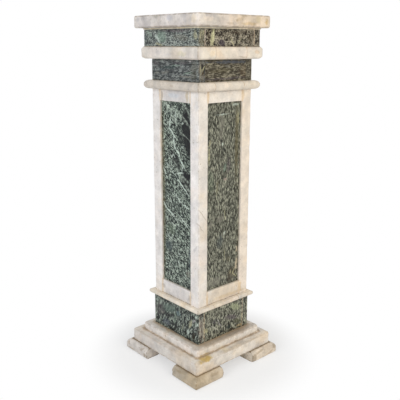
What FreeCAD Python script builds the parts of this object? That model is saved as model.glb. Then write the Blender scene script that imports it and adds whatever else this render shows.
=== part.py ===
"""A square marble pedestal stand, built up from sawn plates, bars and slabs.

Frame: +Z up, origin on the floor under the middle of the column. The four sides are
called front (-Y), right (+X), back (+Y) and left (-X). All sizes are in millimetres.
"""
import FreeCAD, Part
import Sketcher
import os

DRIVING_SIZES = (
    # cap
    ("top_width", 294),
    ("top_thickness", 36),
    ("top_corner_radius", 8),
    ("top_arris_radius", 4),
    ("bed_width", 250),
    ("bed_thickness", 4),
    # courses of plates round a hollow
    ("plate_thickness", 25),
    ("upper_frieze_width", 246),
    ("upper_frieze_height", 48),
    ("lower_frieze_width", 214),
    ("lower_frieze_height", 63),
    ("base_block_width", 220),
    ("base_block_height", 109),
    # moulded rings of four bars
    ("ring_bar_width", 68),
    ("band_width", 259),
    ("band_height", 36),
    ("band_nose_flat", 17),
    ("torus_width", 252),
    ("torus_height", 26),
    ("torus_nose_flat", 1),
    ("base_moulding_width", 245),
    ("base_moulding_height", 13),
    ("base_moulding_nose_flat", 2),
    # panelled shaft
    ("shaft_width", 214),
    ("shaft_height", 661),
    ("post_width", 36),
    ("post_arris_radius", 1.5),
    ("top_rail_height", 34),
    ("bottom_rail_height", 45),
    ("rail_setback", 0.5),
    ("panel_recess", 8),
    ("panel_lap", 8),
    ("panel_thickness", 20),
    ("panel_clearance", 1),
    # steps and feet
    ("upper_step_width", 276),
    ("upper_step_height", 24),
    ("upper_step_arris_radius", 6),
    ("lower_step_width", 330),
    ("lower_step_height", 40),
    ("lower_step_arris_radius", 8),
    ("step_corner_radius", 9),
    ("foot_length", 115),
    ("foot_height", 35),
    ("foot_projection", 17),
    ("foot_toe_radius", 6),
    # steel tie that clamps the stack
    ("rod_diameter", 12),
    ("rod_hole_clearance", 2),
    ("rod_end_length", 4),
    ("rod_end_chamfer", 1),
    ("nut_width", 19),
    ("nut_height", 10),
    ("washer_diameter", 37),
    ("washer_thickness", 3),
    ("counterbore_diameter", 48),
    ("counterbore_depth", 20),
    ("anchor_plate_width", 150),
    ("anchor_plate_thickness", 8),
)

SIDE_TURNS = (("front", 0), ("right", 90), ("back", 180), ("left", 270))
CORNER_TURNS = (("front_left", 0), ("front_right", 90), ("back_right", 180), ("back_left", 270))
NEAR = 1e-4

doc = FreeCAD.newDocument("pedestal")
sheet = doc.addObject("Spreadsheet::Sheet", "Sizes")
for row, (alias, value) in enumerate(DRIVING_SIZES, start=1):
    sheet.set("A%d" % row, alias)
    sheet.set("B%d" % row, str(value))
    sheet.setAlias("B%d" % row, alias)
doc.recompute()

sub_parts = []


def size(alias):
    """The expression that reads one driving size."""
    return "Sizes." + alias


def total(*terms):
    """The expression that adds up its terms."""
    return "(" + " + ".join(terms) + ")"


def half(term):
    """The expression for half of a term."""
    return "(" + term + ") / 2"


# Level of each course's underside above the floor, course on course.
LOWER_STEP_LEVEL = size("foot_height")
UPPER_STEP_LEVEL = total(LOWER_STEP_LEVEL, size("lower_step_height"))
BASE_BLOCK_LEVEL = total(UPPER_STEP_LEVEL, size("upper_step_height"))
BASE_MOULDING_LEVEL = total(BASE_BLOCK_LEVEL, size("base_block_height"))
SHAFT_LEVEL = total(BASE_MOULDING_LEVEL, size("base_moulding_height"))
TORUS_LEVEL = total(SHAFT_LEVEL, size("shaft_height"))
LOWER_FRIEZE_LEVEL = total(TORUS_LEVEL, size("torus_height"))
BAND_LEVEL = total(LOWER_FRIEZE_LEVEL, size("lower_frieze_height"))
UPPER_FRIEZE_LEVEL = total(BAND_LEVEL, size("band_height"))
BED_LEVEL = total(UPPER_FRIEZE_LEVEL, size("upper_frieze_height"))
TOP_LEVEL = total(BED_LEVEL, size("bed_thickness"))


def new_body(label, level, turn=0):
    """A body on the column's axis, turned to its side and lifted to its level."""
    body = doc.addObject("PartDesign::Body", label)
    body.Label = label
    upright = FreeCAD.Vector(0, 0, 1)
    body.Placement = FreeCAD.Placement(FreeCAD.Vector(0, 0, 0), FreeCAD.Rotation(upright, turn))
    body.setExpression("Placement.Base.z", level)
    sub_parts.append(body)
    return body


def plan_sketch(body, name, lift="0"):
    """A sketch on the body's own XY plane, lifted above it."""
    sketch = body.newObject("Sketcher::SketchObject", name)
    for feature in body.Origin.OriginFeatures:
        if feature.Role == "XY_Plane":
            sketch.AttachmentSupport = [(feature, "")]
    sketch.MapMode = "FlatFace"
    sketch.setExpression("AttachmentOffset.Base.z", lift)
    return sketch


def rectangle(sketch, left, right, near, far):
    """A rectangle whose four sides lie at the given coordinates."""
    first = sketch.GeometryCount
    corners = [(-1, -1), (1, -1), (1, 1), (-1, 1)]
    for index, (x, y) in enumerate(corners):
        next_x, next_y = corners[(index + 1) % 4]
        start = FreeCAD.Vector(x, y, 0)
        end = FreeCAD.Vector(next_x, next_y, 0)
        sketch.addGeometry(Part.LineSegment(start, end), False)
    for index in range(4):
        after = first + (index + 1) % 4
        sketch.addConstraint(Sketcher.Constraint("Coincident", first + index, 2, after, 1))
    for index, kind in enumerate(("Horizontal", "Vertical", "Horizontal", "Vertical")):
        sketch.addConstraint(Sketcher.Constraint(kind, first + index))
    for name, kind, line, expression in (
        ("left", "DistanceX", first + 3, left),
        ("right", "DistanceX", first + 1, right),
        ("near", "DistanceY", first, near),
        ("far", "DistanceY", first + 2, far),
    ):
        place = sketch.addConstraint(Sketcher.Constraint(kind, -1, 1, line, 1, 1.0))
        label = "%s_%d" % (name, first)
        sketch.renameConstraint(place, label)
        sketch.setExpression("Constraints." + label, expression)


def circle(sketch, diameter):
    """A circle on the column's axis."""
    axis = FreeCAD.Vector(0, 0, 0)
    ring = sketch.addGeometry(Part.Circle(axis, FreeCAD.Vector(0, 0, 1), 1.0), False)
    sketch.addConstraint(Sketcher.Constraint("Coincident", ring, 3, -1, 1))
    place = sketch.addConstraint(Sketcher.Constraint("Diameter", ring, 2.0))
    sketch.renameConstraint(place, "across")
    sketch.setExpression("Constraints.across", diameter)


def pad(body, sketch, height):
    """Raises the sketch into a solid."""
    feature = body.newObject("PartDesign::Pad", body.Label + "_pad")
    feature.Profile = sketch
    feature.setExpression("Length", height)
    doc.recompute()
    return feature


def pocket(body, sketch, depth):
    """Cuts upward from the sketch, and makes sure that it took material away."""
    before = body.Shape.Volume
    feature = body.newObject("PartDesign::Pocket", sketch.Name + "_cut")
    feature.Profile = sketch
    feature.Reversed = True
    feature.setExpression("Length", depth)
    doc.recompute()
    if body.Shape.Volume > before - NEAR:
        raise RuntimeError(feature.Name + " cut nothing")


def edges_where(shape, wanted):
    """The names of the edges whose box the test accepts."""
    found = []
    for number, edge in enumerate(shape.Edges, start=1):
        if wanted(edge.BoundBox):
            found.append("Edge%d" % number)
    return found


def round_edges(body, name, base, wanted, radius):
    """Rounds the edges of the base feature that the test accepts."""
    feature = body.newObject("PartDesign::Fillet", body.Label + "_" + name)
    feature.Base = (base, edges_where(base.Shape, wanted))
    feature.setExpression("Radius", radius)
    doc.recompute()
    return feature


def is_upright(box):
    """Whether an edge runs straight up."""
    return box.XLength < NEAR and box.YLength < NEAR and box.ZLength > NEAR


def is_level_at(box, level):
    """Whether an edge lies flat at a level."""
    return abs(box.ZMin - level) < NEAR and abs(box.ZMax - level) < NEAR


def slab(label, level, width, thickness, corner_radius):
    """A square slab with rounded upright corners."""
    body = new_body(label, level)
    sketch = plan_sketch(body, label + "_plan")
    reach = half(width)
    rectangle(sketch, "-" + reach, reach, "-" + reach, reach)
    blank = pad(body, sketch, thickness)
    round_edges(body, "corners", blank, is_upright, corner_radius)
    return body


def soften_top(body, radius):
    """Rounds a slab's top arris all the way round."""
    base = body.Tip
    top = base.Shape.BoundBox.ZMax
    round_edges(body, "top_arris", base, lambda box: is_level_at(box, top), radius)


def soften_bottom(body, radius):
    """Rounds a slab's bottom arris all the way round."""
    base = body.Tip
    round_edges(body, "bottom_arris", base, lambda box: is_level_at(box, 0), radius)


def side_bar(label, level, turn, outer_width, bar_width, height, is_long):
    """One bar or plate of a square ring, drawn as the front one and then turned.

    The long ones run the whole width, and their ends show on the next faces. The short
    ones butt between them.
    """
    body = new_body(label, level, turn)
    sketch = plan_sketch(body, label + "_plan")
    reach = half(outer_width)
    run = reach if is_long else "(%s - %s)" % (reach, bar_width)
    rectangle(sketch, "-" + run, run, "-" + reach, "-" + reach + " + " + bar_width)
    pad(body, sketch, height)
    return body


def plate_ring(course, level, outer_width, height):
    """Four plates round a hollow, the left and right ones running through."""
    for side, turn in SIDE_TURNS:
        is_long = side in ("left", "right")
        label = "%s_%s" % (course, side)
        side_bar(label, level, turn, outer_width, size("plate_thickness"), height, is_long)


def moulded_ring(course, level, outer_width, height, nose_flat):
    """Four bars with a rounded nose, which returns round the ends of the long ones."""
    for side, turn in SIDE_TURNS:
        is_long = side in ("left", "right")
        label = "%s_%s" % (course, side)
        body = side_bar(label, level, turn, outer_width, size("ring_bar_width"), height, is_long)
        blank = body.Tip
        box = blank.Shape.BoundBox

        def on_nose(edge, box=box, is_long=is_long):
            level_edge = is_level_at(edge, box.ZMin) or is_level_at(edge, box.ZMax)
            outer = edge.YLength < NEAR and abs(edge.YMin - box.YMin) < NEAR
            end = is_long and edge.XLength < NEAR
            return level_edge and (outer or end)

        radius = "(%s - %s) / 2" % (height, nose_flat)
        round_edges(body, "nose", blank, on_nose, radius)


def corner_post(label, turn):
    """A corner post with a rebate for each of its two panels, stopped at the rails."""
    body = new_body(label, SHAFT_LEVEL, turn)
    sketch = plan_sketch(body, label + "_plan")
    outer = "-" + half(size("shaft_width"))
    inner = outer + " + " + size("post_width")
    rectangle(sketch, outer, inner, outer, inner)
    blank = pad(body, sketch, size("shaft_height"))
    lip_back = outer + " + " + size("panel_recess")
    lap_edge = inner + " - " + size("panel_lap")
    start = "(%s - %s)" % (size("bottom_rail_height"), size("panel_lap"))
    run = "(%s - %s + 2 * %s)" % (
        size("shaft_height"),
        total(size("bottom_rail_height"), size("top_rail_height")),
        size("panel_lap"),
    )
    for name, spans in (
        ("side_rebate", (lip_back, inner, lap_edge, inner)),
        ("face_rebate", (lap_edge, inner, lip_back, inner)),
    ):
        rebate = plan_sketch(body, "%s_%s" % (label, name), start)
        rectangle(rebate, *spans)
        pocket(body, rebate, run)
    base = body.Tip
    box = blank.Shape.BoundBox

    def outer_upright(edge):
        on_side = abs(edge.XMin - box.XMin) < NEAR
        on_face = abs(edge.YMin - box.YMin) < NEAR
        return is_upright(edge) and on_side and on_face

    round_edges(body, "arris", base, outer_upright, size("post_arris_radius"))


def rail(label, level, turn, height, rebate_lift):
    """A rail between two posts, rebated behind for the edge of the panel."""
    body = new_body(label, level, turn)
    sketch = plan_sketch(body, label + "_plan")
    run = "(%s - %s)" % (half(size("shaft_width")), size("post_width"))
    face = "-" + half(size("shaft_width"))
    back = face + " + " + size("post_width")
    rectangle(sketch, "-" + run, run, face + " + " + size("rail_setback"), back)
    pad(body, sketch, height)
    rebate = plan_sketch(body, label + "_rebate", rebate_lift)
    rectangle(rebate, "-" + run, run, face + " + " + size("panel_recess"), back)
    pocket(body, rebate, size("panel_lap"))


def panel(label, turn):
    """A panel that lies behind the lips of its posts and rails."""
    level = "%s + %s - %s + %s" % (
        SHAFT_LEVEL,
        size("bottom_rail_height"),
        size("panel_lap"),
        size("panel_clearance"),
    )
    body = new_body(label, level, turn)
    sketch = plan_sketch(body, label + "_plan")
    slack = "(%s - %s)" % (size("panel_lap"), size("panel_clearance"))
    run = "(%s - %s + %s)" % (half(size("shaft_width")), size("post_width"), slack)
    face = "-" + half(size("shaft_width")) + " + " + size("panel_recess")
    rectangle(sketch, "-" + run, run, face, face + " + " + size("panel_thickness"))
    height = "%s - %s + 2 * %s" % (
        size("shaft_height"),
        total(size("bottom_rail_height"), size("top_rail_height")),
        slack,
    )
    pad(body, sketch, height)


def foot(label, turn):
    """A corner foot: a block with a quarter-round nose on its two outer sides."""
    body = new_body(label, "0", turn)
    sketch = plan_sketch(body, label + "_plan")
    outer = "-(%s + %s)" % (half(size("lower_step_width")), size("foot_projection"))
    inner = outer + " + " + size("foot_length")
    rectangle(sketch, outer, inner, outer, inner)
    blank = pad(body, sketch, size("foot_height"))
    box = blank.Shape.BoundBox

    def outer_edge(edge, level):
        on_side = edge.XLength < NEAR and abs(edge.XMin - box.XMin) < NEAR
        on_face = edge.YLength < NEAR and abs(edge.YMin - box.YMin) < NEAR
        return is_level_at(edge, level) and (on_side or on_face)

    nose = round_edges(
        body, "nose", blank, lambda edge: outer_edge(edge, box.ZMax), size("foot_projection")
    )
    round_edges(body, "toe", nose, lambda edge: outer_edge(edge, 0), size("foot_toe_radius"))


def rod_hole(body, name, depth):
    """The hole for the tie rod, from the underside up."""
    sketch = plan_sketch(body, name)
    circle(sketch, total(size("rod_diameter"), size("rod_hole_clearance")))
    pocket(body, sketch, depth)


# Feet and steps.
for corner, turn in CORNER_TURNS:
    foot("foot_" + corner, turn)

lower_step = slab(
    "lower_step",
    LOWER_STEP_LEVEL,
    size("lower_step_width"),
    size("lower_step_height"),
    size("step_corner_radius"),
)
soften_top(lower_step, size("lower_step_arris_radius"))
counterbore = plan_sketch(lower_step, "lower_step_counterbore")
circle(counterbore, size("counterbore_diameter"))
pocket(lower_step, counterbore, size("counterbore_depth"))
rod_hole(lower_step, "lower_step_rod_hole", size("lower_step_height"))

upper_step = slab(
    "upper_step",
    UPPER_STEP_LEVEL,
    size("upper_step_width"),
    size("upper_step_height"),
    size("step_corner_radius"),
)
soften_top(upper_step, size("upper_step_arris_radius"))
rod_hole(upper_step, "upper_step_rod_hole", size("upper_step_height"))

# Base block and its moulding.
plate_ring(
    "base_block", BASE_BLOCK_LEVEL, size("base_block_width"), size("base_block_height")
)
moulded_ring(
    "base_moulding",
    BASE_MOULDING_LEVEL,
    size("base_moulding_width"),
    size("base_moulding_height"),
    size("base_moulding_nose_flat"),
)

# Shaft: posts, rails and panels.
for corner, turn in CORNER_TURNS:
    corner_post("post_" + corner, turn)

TOP_RAIL_LEVEL = "%s + %s - %s" % (SHAFT_LEVEL, size("shaft_height"), size("top_rail_height"))
BOTTOM_REBATE_LIFT = "%s - %s" % (size("bottom_rail_height"), size("panel_lap"))
for side, turn in SIDE_TURNS:
    rail("bottom_rail_" + side, SHAFT_LEVEL, turn, size("bottom_rail_height"), BOTTOM_REBATE_LIFT)
    rail("top_rail_" + side, TOP_RAIL_LEVEL, turn, size("top_rail_height"), "0")
    panel("panel_" + side, turn)

# Neck: torus, lower frieze, band and upper frieze.
moulded_ring(
    "torus", TORUS_LEVEL, size("torus_width"), size("torus_height"), size("torus_nose_flat")
)
plate_ring(
    "lower_frieze", LOWER_FRIEZE_LEVEL, size("lower_frieze_width"), size("lower_frieze_height")
)
moulded_ring(
    "band", BAND_LEVEL, size("band_width"), size("band_height"), size("band_nose_flat")
)
plate_ring(
    "upper_frieze", UPPER_FRIEZE_LEVEL, size("upper_frieze_width"), size("upper_frieze_height")
)

# Cap: a thin bed and the top slab.
bed = new_body("top_bed", BED_LEVEL)
bed_plan = plan_sketch(bed, "top_bed_plan")
bed_reach = half(size("bed_width"))
rectangle(bed_plan, "-" + bed_reach, bed_reach, "-" + bed_reach, bed_reach)
pad(bed, bed_plan, size("bed_thickness"))

top_slab = slab(
    "top_slab", TOP_LEVEL, size("top_width"), size("top_thickness"), size("top_corner_radius")
)
soften_top(top_slab, size("top_arris_radius"))
soften_bottom(top_slab, size("top_arris_radius"))

# Steel tie: rod, anchor plate, washers and nuts.
anchor = new_body("anchor_plate", UPPER_FRIEZE_LEVEL)
anchor_plan = plan_sketch(anchor, "anchor_plate_plan")
anchor_reach = half(size("anchor_plate_width"))
rectangle(anchor_plan, "-" + anchor_reach, anchor_reach, "-" + anchor_reach, anchor_reach)
pad(anchor, anchor_plan, size("anchor_plate_thickness"))
rod_hole(anchor, "anchor_plate_rod_hole", size("anchor_plate_thickness"))

LOWER_SEAT = total(LOWER_STEP_LEVEL, size("counterbore_depth"))
UPPER_SEAT = total(UPPER_FRIEZE_LEVEL, size("anchor_plate_thickness"))
LOWER_WASHER_LEVEL = "%s - %s" % (LOWER_SEAT, size("washer_thickness"))
LOWER_NUT_LEVEL = "%s - %s" % (LOWER_WASHER_LEVEL, size("nut_height"))
UPPER_NUT_LEVEL = total(UPPER_SEAT, size("washer_thickness"))
ROD_LEVEL = "%s - %s" % (LOWER_NUT_LEVEL, size("rod_end_length"))
ROD_TOP = total(UPPER_NUT_LEVEL, size("nut_height"), size("rod_end_length"))

rod = new_body("tie_rod", ROD_LEVEL)
rod_plan = plan_sketch(rod, "tie_rod_plan")
circle(rod_plan, size("rod_diameter"))
rod_blank = pad(rod, rod_plan, "%s - (%s)" % (ROD_TOP, ROD_LEVEL))
rod_ends = rod.newObject("PartDesign::Chamfer", "tie_rod_ends")
rod_ends.Base = (rod_blank, edges_where(rod_blank.Shape, lambda edge: edge.ZLength < NEAR))
rod_ends.setExpression("Size", size("rod_end_chamfer"))
doc.recompute()


def bored(name, blank, level, height):
    """A blank with the rod's bore through it, set on the axis at its level."""
    bore = doc.addObject("Part::Cylinder", name + "_bore")
    bore.setExpression("Radius", half(size("rod_diameter")))
    bore.setExpression("Height", height)
    blank.setExpression("Height", height)
    for solid in (blank, bore):
        solid.setExpression("Placement.Base.z", level)
    cut = doc.addObject("Part::Cut", name)
    cut.Base = blank
    cut.Tool = bore
    return cut


def washer(name, level):
    """A plain round washer."""
    blank = doc.addObject("Part::Cylinder", name + "_disc")
    blank.setExpression("Radius", half(size("washer_diameter")))
    return bored(name, blank, level, size("washer_thickness"))


def nut(name, level):
    """A hexagon nut, sized across its flats."""
    blank = doc.addObject("Part::Prism", name + "_hexagon")
    blank.Polygon = 6
    blank.setExpression("Circumradius", size("nut_width") + " / 2 / cos(30 deg)")
    return bored(name, blank, level, size("nut_height"))


def pair(label, pieces):
    """Two alike pieces kept together under one label."""
    group = doc.addObject("Part::Compound", label)
    group.Label = label
    group.Links = pieces
    sub_parts.append(group)


washers = [washer("lower_washer", LOWER_WASHER_LEVEL), washer("upper_washer", UPPER_SEAT)]
nuts = [nut("lower_nut", LOWER_NUT_LEVEL), nut("upper_nut", UPPER_NUT_LEVEL)]
pair("tie_washers", washers)
pair("tie_nuts", nuts)
doc.recompute()

for thing in doc.Objects:
    if "Invalid" in thing.State or "Error" in thing.State:
        raise RuntimeError("%s failed: %s" % (thing.Name, thing.State))
for sub_part in sub_parts:
    shape = sub_part.Shape
    if shape.isNull() or not shape.isValid() or not shape.Solids:
        raise RuntimeError("%s has no valid solid" % sub_part.Label)

os.makedirs("parts", exist_ok=True)
for sub_part in sub_parts:
    sub_part.Shape.exportStep("parts/%s.step" % sub_part.Label)
print("%d sub-parts written" % len(sub_parts))
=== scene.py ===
"""The looks of a square marble pedestal stand: worn white stone that frames green stone.

Metres, +Z up, origin on the floor under the column's axis. The front is -Y, the right +X,
the back +Y and the left -X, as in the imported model, whose boxes give every piece its place.
"""
import logging
import math
from collections.abc import Callable, Sequence
from dataclasses import dataclass, replace
from enum import Enum
from typing import Union

import bmesh
import bpy
import numpy as np
from mathutils import Matrix, Vector


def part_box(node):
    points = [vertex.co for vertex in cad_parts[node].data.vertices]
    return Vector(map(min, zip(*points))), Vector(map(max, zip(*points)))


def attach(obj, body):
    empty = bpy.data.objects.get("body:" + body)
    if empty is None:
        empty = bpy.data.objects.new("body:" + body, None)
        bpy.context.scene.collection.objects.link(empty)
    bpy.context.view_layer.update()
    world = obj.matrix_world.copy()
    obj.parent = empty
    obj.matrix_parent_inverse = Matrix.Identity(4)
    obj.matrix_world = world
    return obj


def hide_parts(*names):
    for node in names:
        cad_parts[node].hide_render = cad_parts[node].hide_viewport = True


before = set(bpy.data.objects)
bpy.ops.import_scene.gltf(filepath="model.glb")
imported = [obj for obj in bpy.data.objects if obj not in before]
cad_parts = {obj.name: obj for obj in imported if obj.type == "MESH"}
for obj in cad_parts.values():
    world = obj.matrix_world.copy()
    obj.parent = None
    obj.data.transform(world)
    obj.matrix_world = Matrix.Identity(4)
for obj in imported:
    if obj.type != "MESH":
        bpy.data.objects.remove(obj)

LOG = logging.getLogger("pedestal")
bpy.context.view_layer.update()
BODY = "root"
MM = 0.001
NEAR = 0.001 * MM
X, Y, Z = range(3)
WEAR_STEPS = 24
SHARP_ANGLE = math.radians(24)
SMOOTH_ANGLE = math.radians(38)
WHITE = (1.0, 1.0, 1.0, 1.0)
Line = tuple[Vector, Vector]
Plane = tuple[int, float]
EdgeTest = Callable[[bmesh.types.BMEdge], bool]
Colour = tuple[float, float, float]
Amount = Union["Signal", float]
Pigment = Union["Signal", Colour]


class Side(Enum):
    """A side of the column, with its turn from the front in degrees."""

    FRONT = 0
    RIGHT = 90
    BACK = 180
    LEFT = 270

    @property
    def word(self) -> str:
        """The side's name in the nodes' names."""
        return self.name.lower()

    @property
    def runs_through(self) -> bool:
        """Whether this side's plates and bars run through to the corners."""
        return self in (Side.LEFT, Side.RIGHT)

    @property
    def level_axis(self) -> int:
        """The axis that runs along this side, level."""
        return Y if self.runs_through else X


class Corner(Enum):
    """A corner of the column, with its turn from the front left one in degrees."""

    FRONT_LEFT = 0
    FRONT_RIGHT = 90
    BACK_RIGHT = 180
    BACK_LEFT = 270

    @property
    def word(self) -> str:
        """The corner's name in the nodes' names."""
        return self.name.lower()


# ---------------------------------------------------------------- shader maths


def screen(red: float, green: float, blue: float) -> Colour:
    """A shader's colour from the three levels, 0 to 255, that a screen shows.

    Args:
        red: the level of red.
        green: the level of green.
        blue: the level of blue.

    Returns:
        The linear colour.
    """

    def linear(level: float) -> float:
        """One level made linear."""
        share = level / 255.0
        return share / 12.92 if share <= 0.04045 else ((share + 0.055) / 1.055) ** 2.4

    return linear(red), linear(green), linear(blue)


class Signal:
    """A shader socket's output that takes part in sums."""

    def __init__(self, painter: "Painter", socket: bpy.types.NodeSocket) -> None:
        """Keep the painter that makes nodes, and the socket."""
        self.painter = painter
        self.socket = socket

    def _maths(self, operation: str, first: Amount, second: Amount) -> "Signal":
        """A Math node over two values or signals."""
        settings = {"operation": operation}
        return self.painter.node("ShaderNodeMath", settings, {0: first, 1: second})

    def __add__(self, other: Amount) -> "Signal":
        """self + other."""
        return self._maths("ADD", self, other)

    __radd__ = __add__

    def __sub__(self, other: Amount) -> "Signal":
        """self - other."""
        return self._maths("SUBTRACT", self, other)

    def __rsub__(self, other: Amount) -> "Signal":
        """other - self."""
        return self._maths("SUBTRACT", other, self)

    def __mul__(self, other: Amount) -> "Signal":
        """self * other."""
        return self._maths("MULTIPLY", self, other)

    __rmul__ = __mul__

    def __abs__(self) -> "Signal":
        """The size of self."""
        return self._maths("ABSOLUTE", self, 0.0)

    def at_least(self, other: Amount) -> "Signal":
        """The larger of the two."""
        return self._maths("MAXIMUM", self, other)

    def rise(self, start: float, end: float) -> "Signal":
        """A smooth step from 0 to 1 as self goes from start to end.

        Args:
            start: where the step begins.
            end: where it is complete. It may be below start.

        Returns:
            The step, from 0 to 1.
        """
        flip = end < start
        low, high = (end, start) if flip else (start, end)
        settings = {"interpolation_type": "SMOOTHSTEP"}
        sockets = {"Value": self, "From Min": low, "From Max": high}
        step = self.painter.node("ShaderNodeMapRange", settings, sockets)
        return 1.0 - step if flip else step


@dataclass(frozen=True)
class Mark:
    """A vein, cloud or stain on one face, soft at its edge.

    Millimetres. The middle is given along the face, from left to right as it is seen, and
    up from the floor. The tilt is in degrees, anticlockwise from level.
    """

    along: float
    up: float
    half_length: float
    half_width: float
    tilt: float
    tint: Colour
    strength: float = 0.8
    depth: float = 14.0


@dataclass(frozen=True)
class Face:
    """The marks of one face, and its distance from the column's axis in millimetres."""

    side: Side
    reach: float
    marks: tuple[Mark, ...]

    def on(self, side: Side) -> "Face":
        """The same marks on another side."""
        return Face(side, self.reach, self.marks)


class Painter:
    """Builds the nodes of a material or of the world."""

    MIX_FIRST = 6
    MIX_SECOND = 7
    MIX_RESULT = 2

    def __init__(self, owner: bpy.types.Material | bpy.types.World) -> None:
        """Empty the owner's node tree.

        Args:
            owner: a new material, or a new world.
        """
        self.owner = owner
        owner.use_nodes = True
        self.tree = owner.node_tree
        self.tree.nodes.clear()

    @classmethod
    def of_material(cls, name: str) -> "Painter":
        """A painter with a new material."""
        return cls(bpy.data.materials.new(name))

    def node(
        self,
        kind: str,
        settings: dict | None = None,
        sockets: dict | None = None,
        output: int | str = 0,
    ) -> Signal | None:
        """Add a node.

        Args:
            kind: the node's type.
            settings: its own settings, set before its sockets. Stops are a ramp's
                places and colours.
            sockets: the values or signals of its inputs.
            output: which output to hand back.

        Returns:
            The chosen output, or nothing where the node has none.
        """
        made = self.tree.nodes.new(kind)
        for key, value in (settings or {}).items():
            if key == "stops":
                elements = made.color_ramp.elements
                while len(elements) < len(value):
                    elements.new(1.0)
                for element, (place, colour) in zip(elements, value):
                    element.position = place
                    element.color = (*colour, 1.0)
            else:
                setattr(made, key, value)
        for key, value in (sockets or {}).items():
            if isinstance(value, Signal):
                self.tree.links.new(value.socket, made.inputs[key])
            else:
                made.inputs[key].default_value = value
        return Signal(self, made.outputs[output]) if made.outputs else None

    def attribute(self, name: str) -> Signal:
        """A number kept on the piece's points."""
        settings = {"attribute_type": "GEOMETRY", "attribute_name": name}
        return self.node("ShaderNodeAttribute", settings, None, "Fac")

    def coordinates(self) -> Signal:
        """The place on the object, in metres."""
        return self.node("ShaderNodeTexCoord", None, None, "Object")

    def seen_from(self, side: Side, place: Signal) -> Signal:
        """The place as a side sees it: to the right, inwards and up."""
        turn = (0.0, 0.0, -math.radians(side.value))
        return self.node("ShaderNodeMapping", None, {"Vector": place, "Rotation": turn})

    def lean(self, place: Signal, degrees: float) -> Signal:
        """The place turned in the plane of a face, so that its first part runs up the slant."""
        sockets = {"Vector": place, "Rotation": (0.0, -math.radians(degrees), 0.0)}
        return self.node("ShaderNodeMapping", {"vector_type": "TEXTURE"}, sockets)

    def join(self, x: Amount, y: Amount, z: Amount) -> Signal:
        """A vector from three parts."""
        return self.node("ShaderNodeCombineXYZ", None, {0: x, 1: y, 2: z})

    def shift(self, vector: Signal, by: Signal | Sequence[float]) -> Signal:
        """A vector moved by another."""
        return self.node("ShaderNodeVectorMath", {"operation": "ADD"}, {0: vector, 1: by})

    def stretch(self, vector: Signal, by: Sequence[float]) -> Signal:
        """A vector with each part multiplied."""
        settings = {"operation": "MULTIPLY"}
        return self.node("ShaderNodeVectorMath", settings, {0: vector, 1: tuple(by)})

    def length(self, vector: Signal) -> Signal:
        """A vector's length."""
        return self.node("ShaderNodeVectorMath", {"operation": "LENGTH"}, {0: vector}, "Value")

    def noise(
        self, place: Signal, scale: float, detail: float = 3.0, rough: float = 0.5
    ) -> Signal:
        """Soft noise about 0.5."""
        sockets = {"Vector": place, "Scale": scale, "Detail": detail, "Roughness": rough}
        return self.node("ShaderNodeTexNoise", None, sockets)

    def warp(self, place: Signal, scale: float, amount: float, detail: float = 3.0) -> Signal:
        """A place pushed about by noise.

        Args:
            place: the place.
            scale: how many swings to the metre.
            amount: about how far it is pushed, in metres.
            detail: how rough the swings are.

        Returns:
            The pushed place.
        """
        sockets = {"Vector": place, "Scale": scale, "Detail": detail}
        swirl = self.node("ShaderNodeTexNoise", None, sockets, "Color")
        centred = self.shift(swirl, (-0.5, -0.5, -0.5))
        return self.shift(place, self.stretch(centred, (amount,) * 3))

    def cells(self, place: Signal, scale: float, feature: str) -> Signal:
        """The distance to the walls, or the middles, of a scatter of cells."""
        settings = {"feature": feature}
        return self.node("ShaderNodeTexVoronoi", settings, {"Vector": place, "Scale": scale})

    def ridge(self, place: Signal, scale: float, thin: float, detail: float = 2.0) -> Signal:
        """Thin winding lines where noise passes its middle value.

        Args:
            place: where the noise is read.
            scale: how many swings to the metre.
            thin: the line's half width, as a share of the noise.
            detail: how rough the line is.

        Returns:
            1 on the lines, falling to 0 beside them.
        """
        swing = abs(self.noise(place, scale, detail) - 0.5)
        return swing.rise(thin, 0.0)

    def blend(self, kind: str, factor: Amount, first: Pigment, second: Pigment) -> Signal:
        """Put two colours through one Mix node.

        Args:
            kind: how they are blended, such as MIX or MULTIPLY.
            factor: how much the second counts, from 0 to 1.
            first: the colour below.
            second: the colour above.

        Returns:
            The blended colour.
        """
        below, above = (
            colour if isinstance(colour, Signal) else (*colour, 1.0) for colour in (first, second)
        )
        settings = {"data_type": "RGBA", "blend_type": kind}
        sockets = {0: factor, self.MIX_FIRST: below, self.MIX_SECOND: above}
        return self.node("ShaderNodeMix", settings, sockets, self.MIX_RESULT)

    def mix(self, factor: Amount, first: Pigment, second: Pigment) -> Signal:
        """One colour laid over another."""
        return self.blend("MIX", factor, first, second)

    def multiply(self, first: Pigment, second: Pigment) -> Signal:
        """Two colours multiplied."""
        return self.blend("MULTIPLY", 1.0, first, second)

    def shade(self, colour: Pigment, by: Amount) -> Signal:
        """A colour made lighter or darker."""
        return self.multiply(colour, self.join(by, by, by))

    def backdrop_rays(self) -> Signal:
        """Tell the rays that see the backdrop from those that light the object.

        Returns:
            1 for the camera's rays, and for those by way of gloss or glass.
        """
        rays = ("Is Camera Ray", "Is Glossy Ray", "Is Transmission Ray")
        seen, mirrored, through = (self.node("ShaderNodeLightPath", output=ray) for ray in rays)
        return seen.at_least(mirrored).at_least(through)

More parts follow.
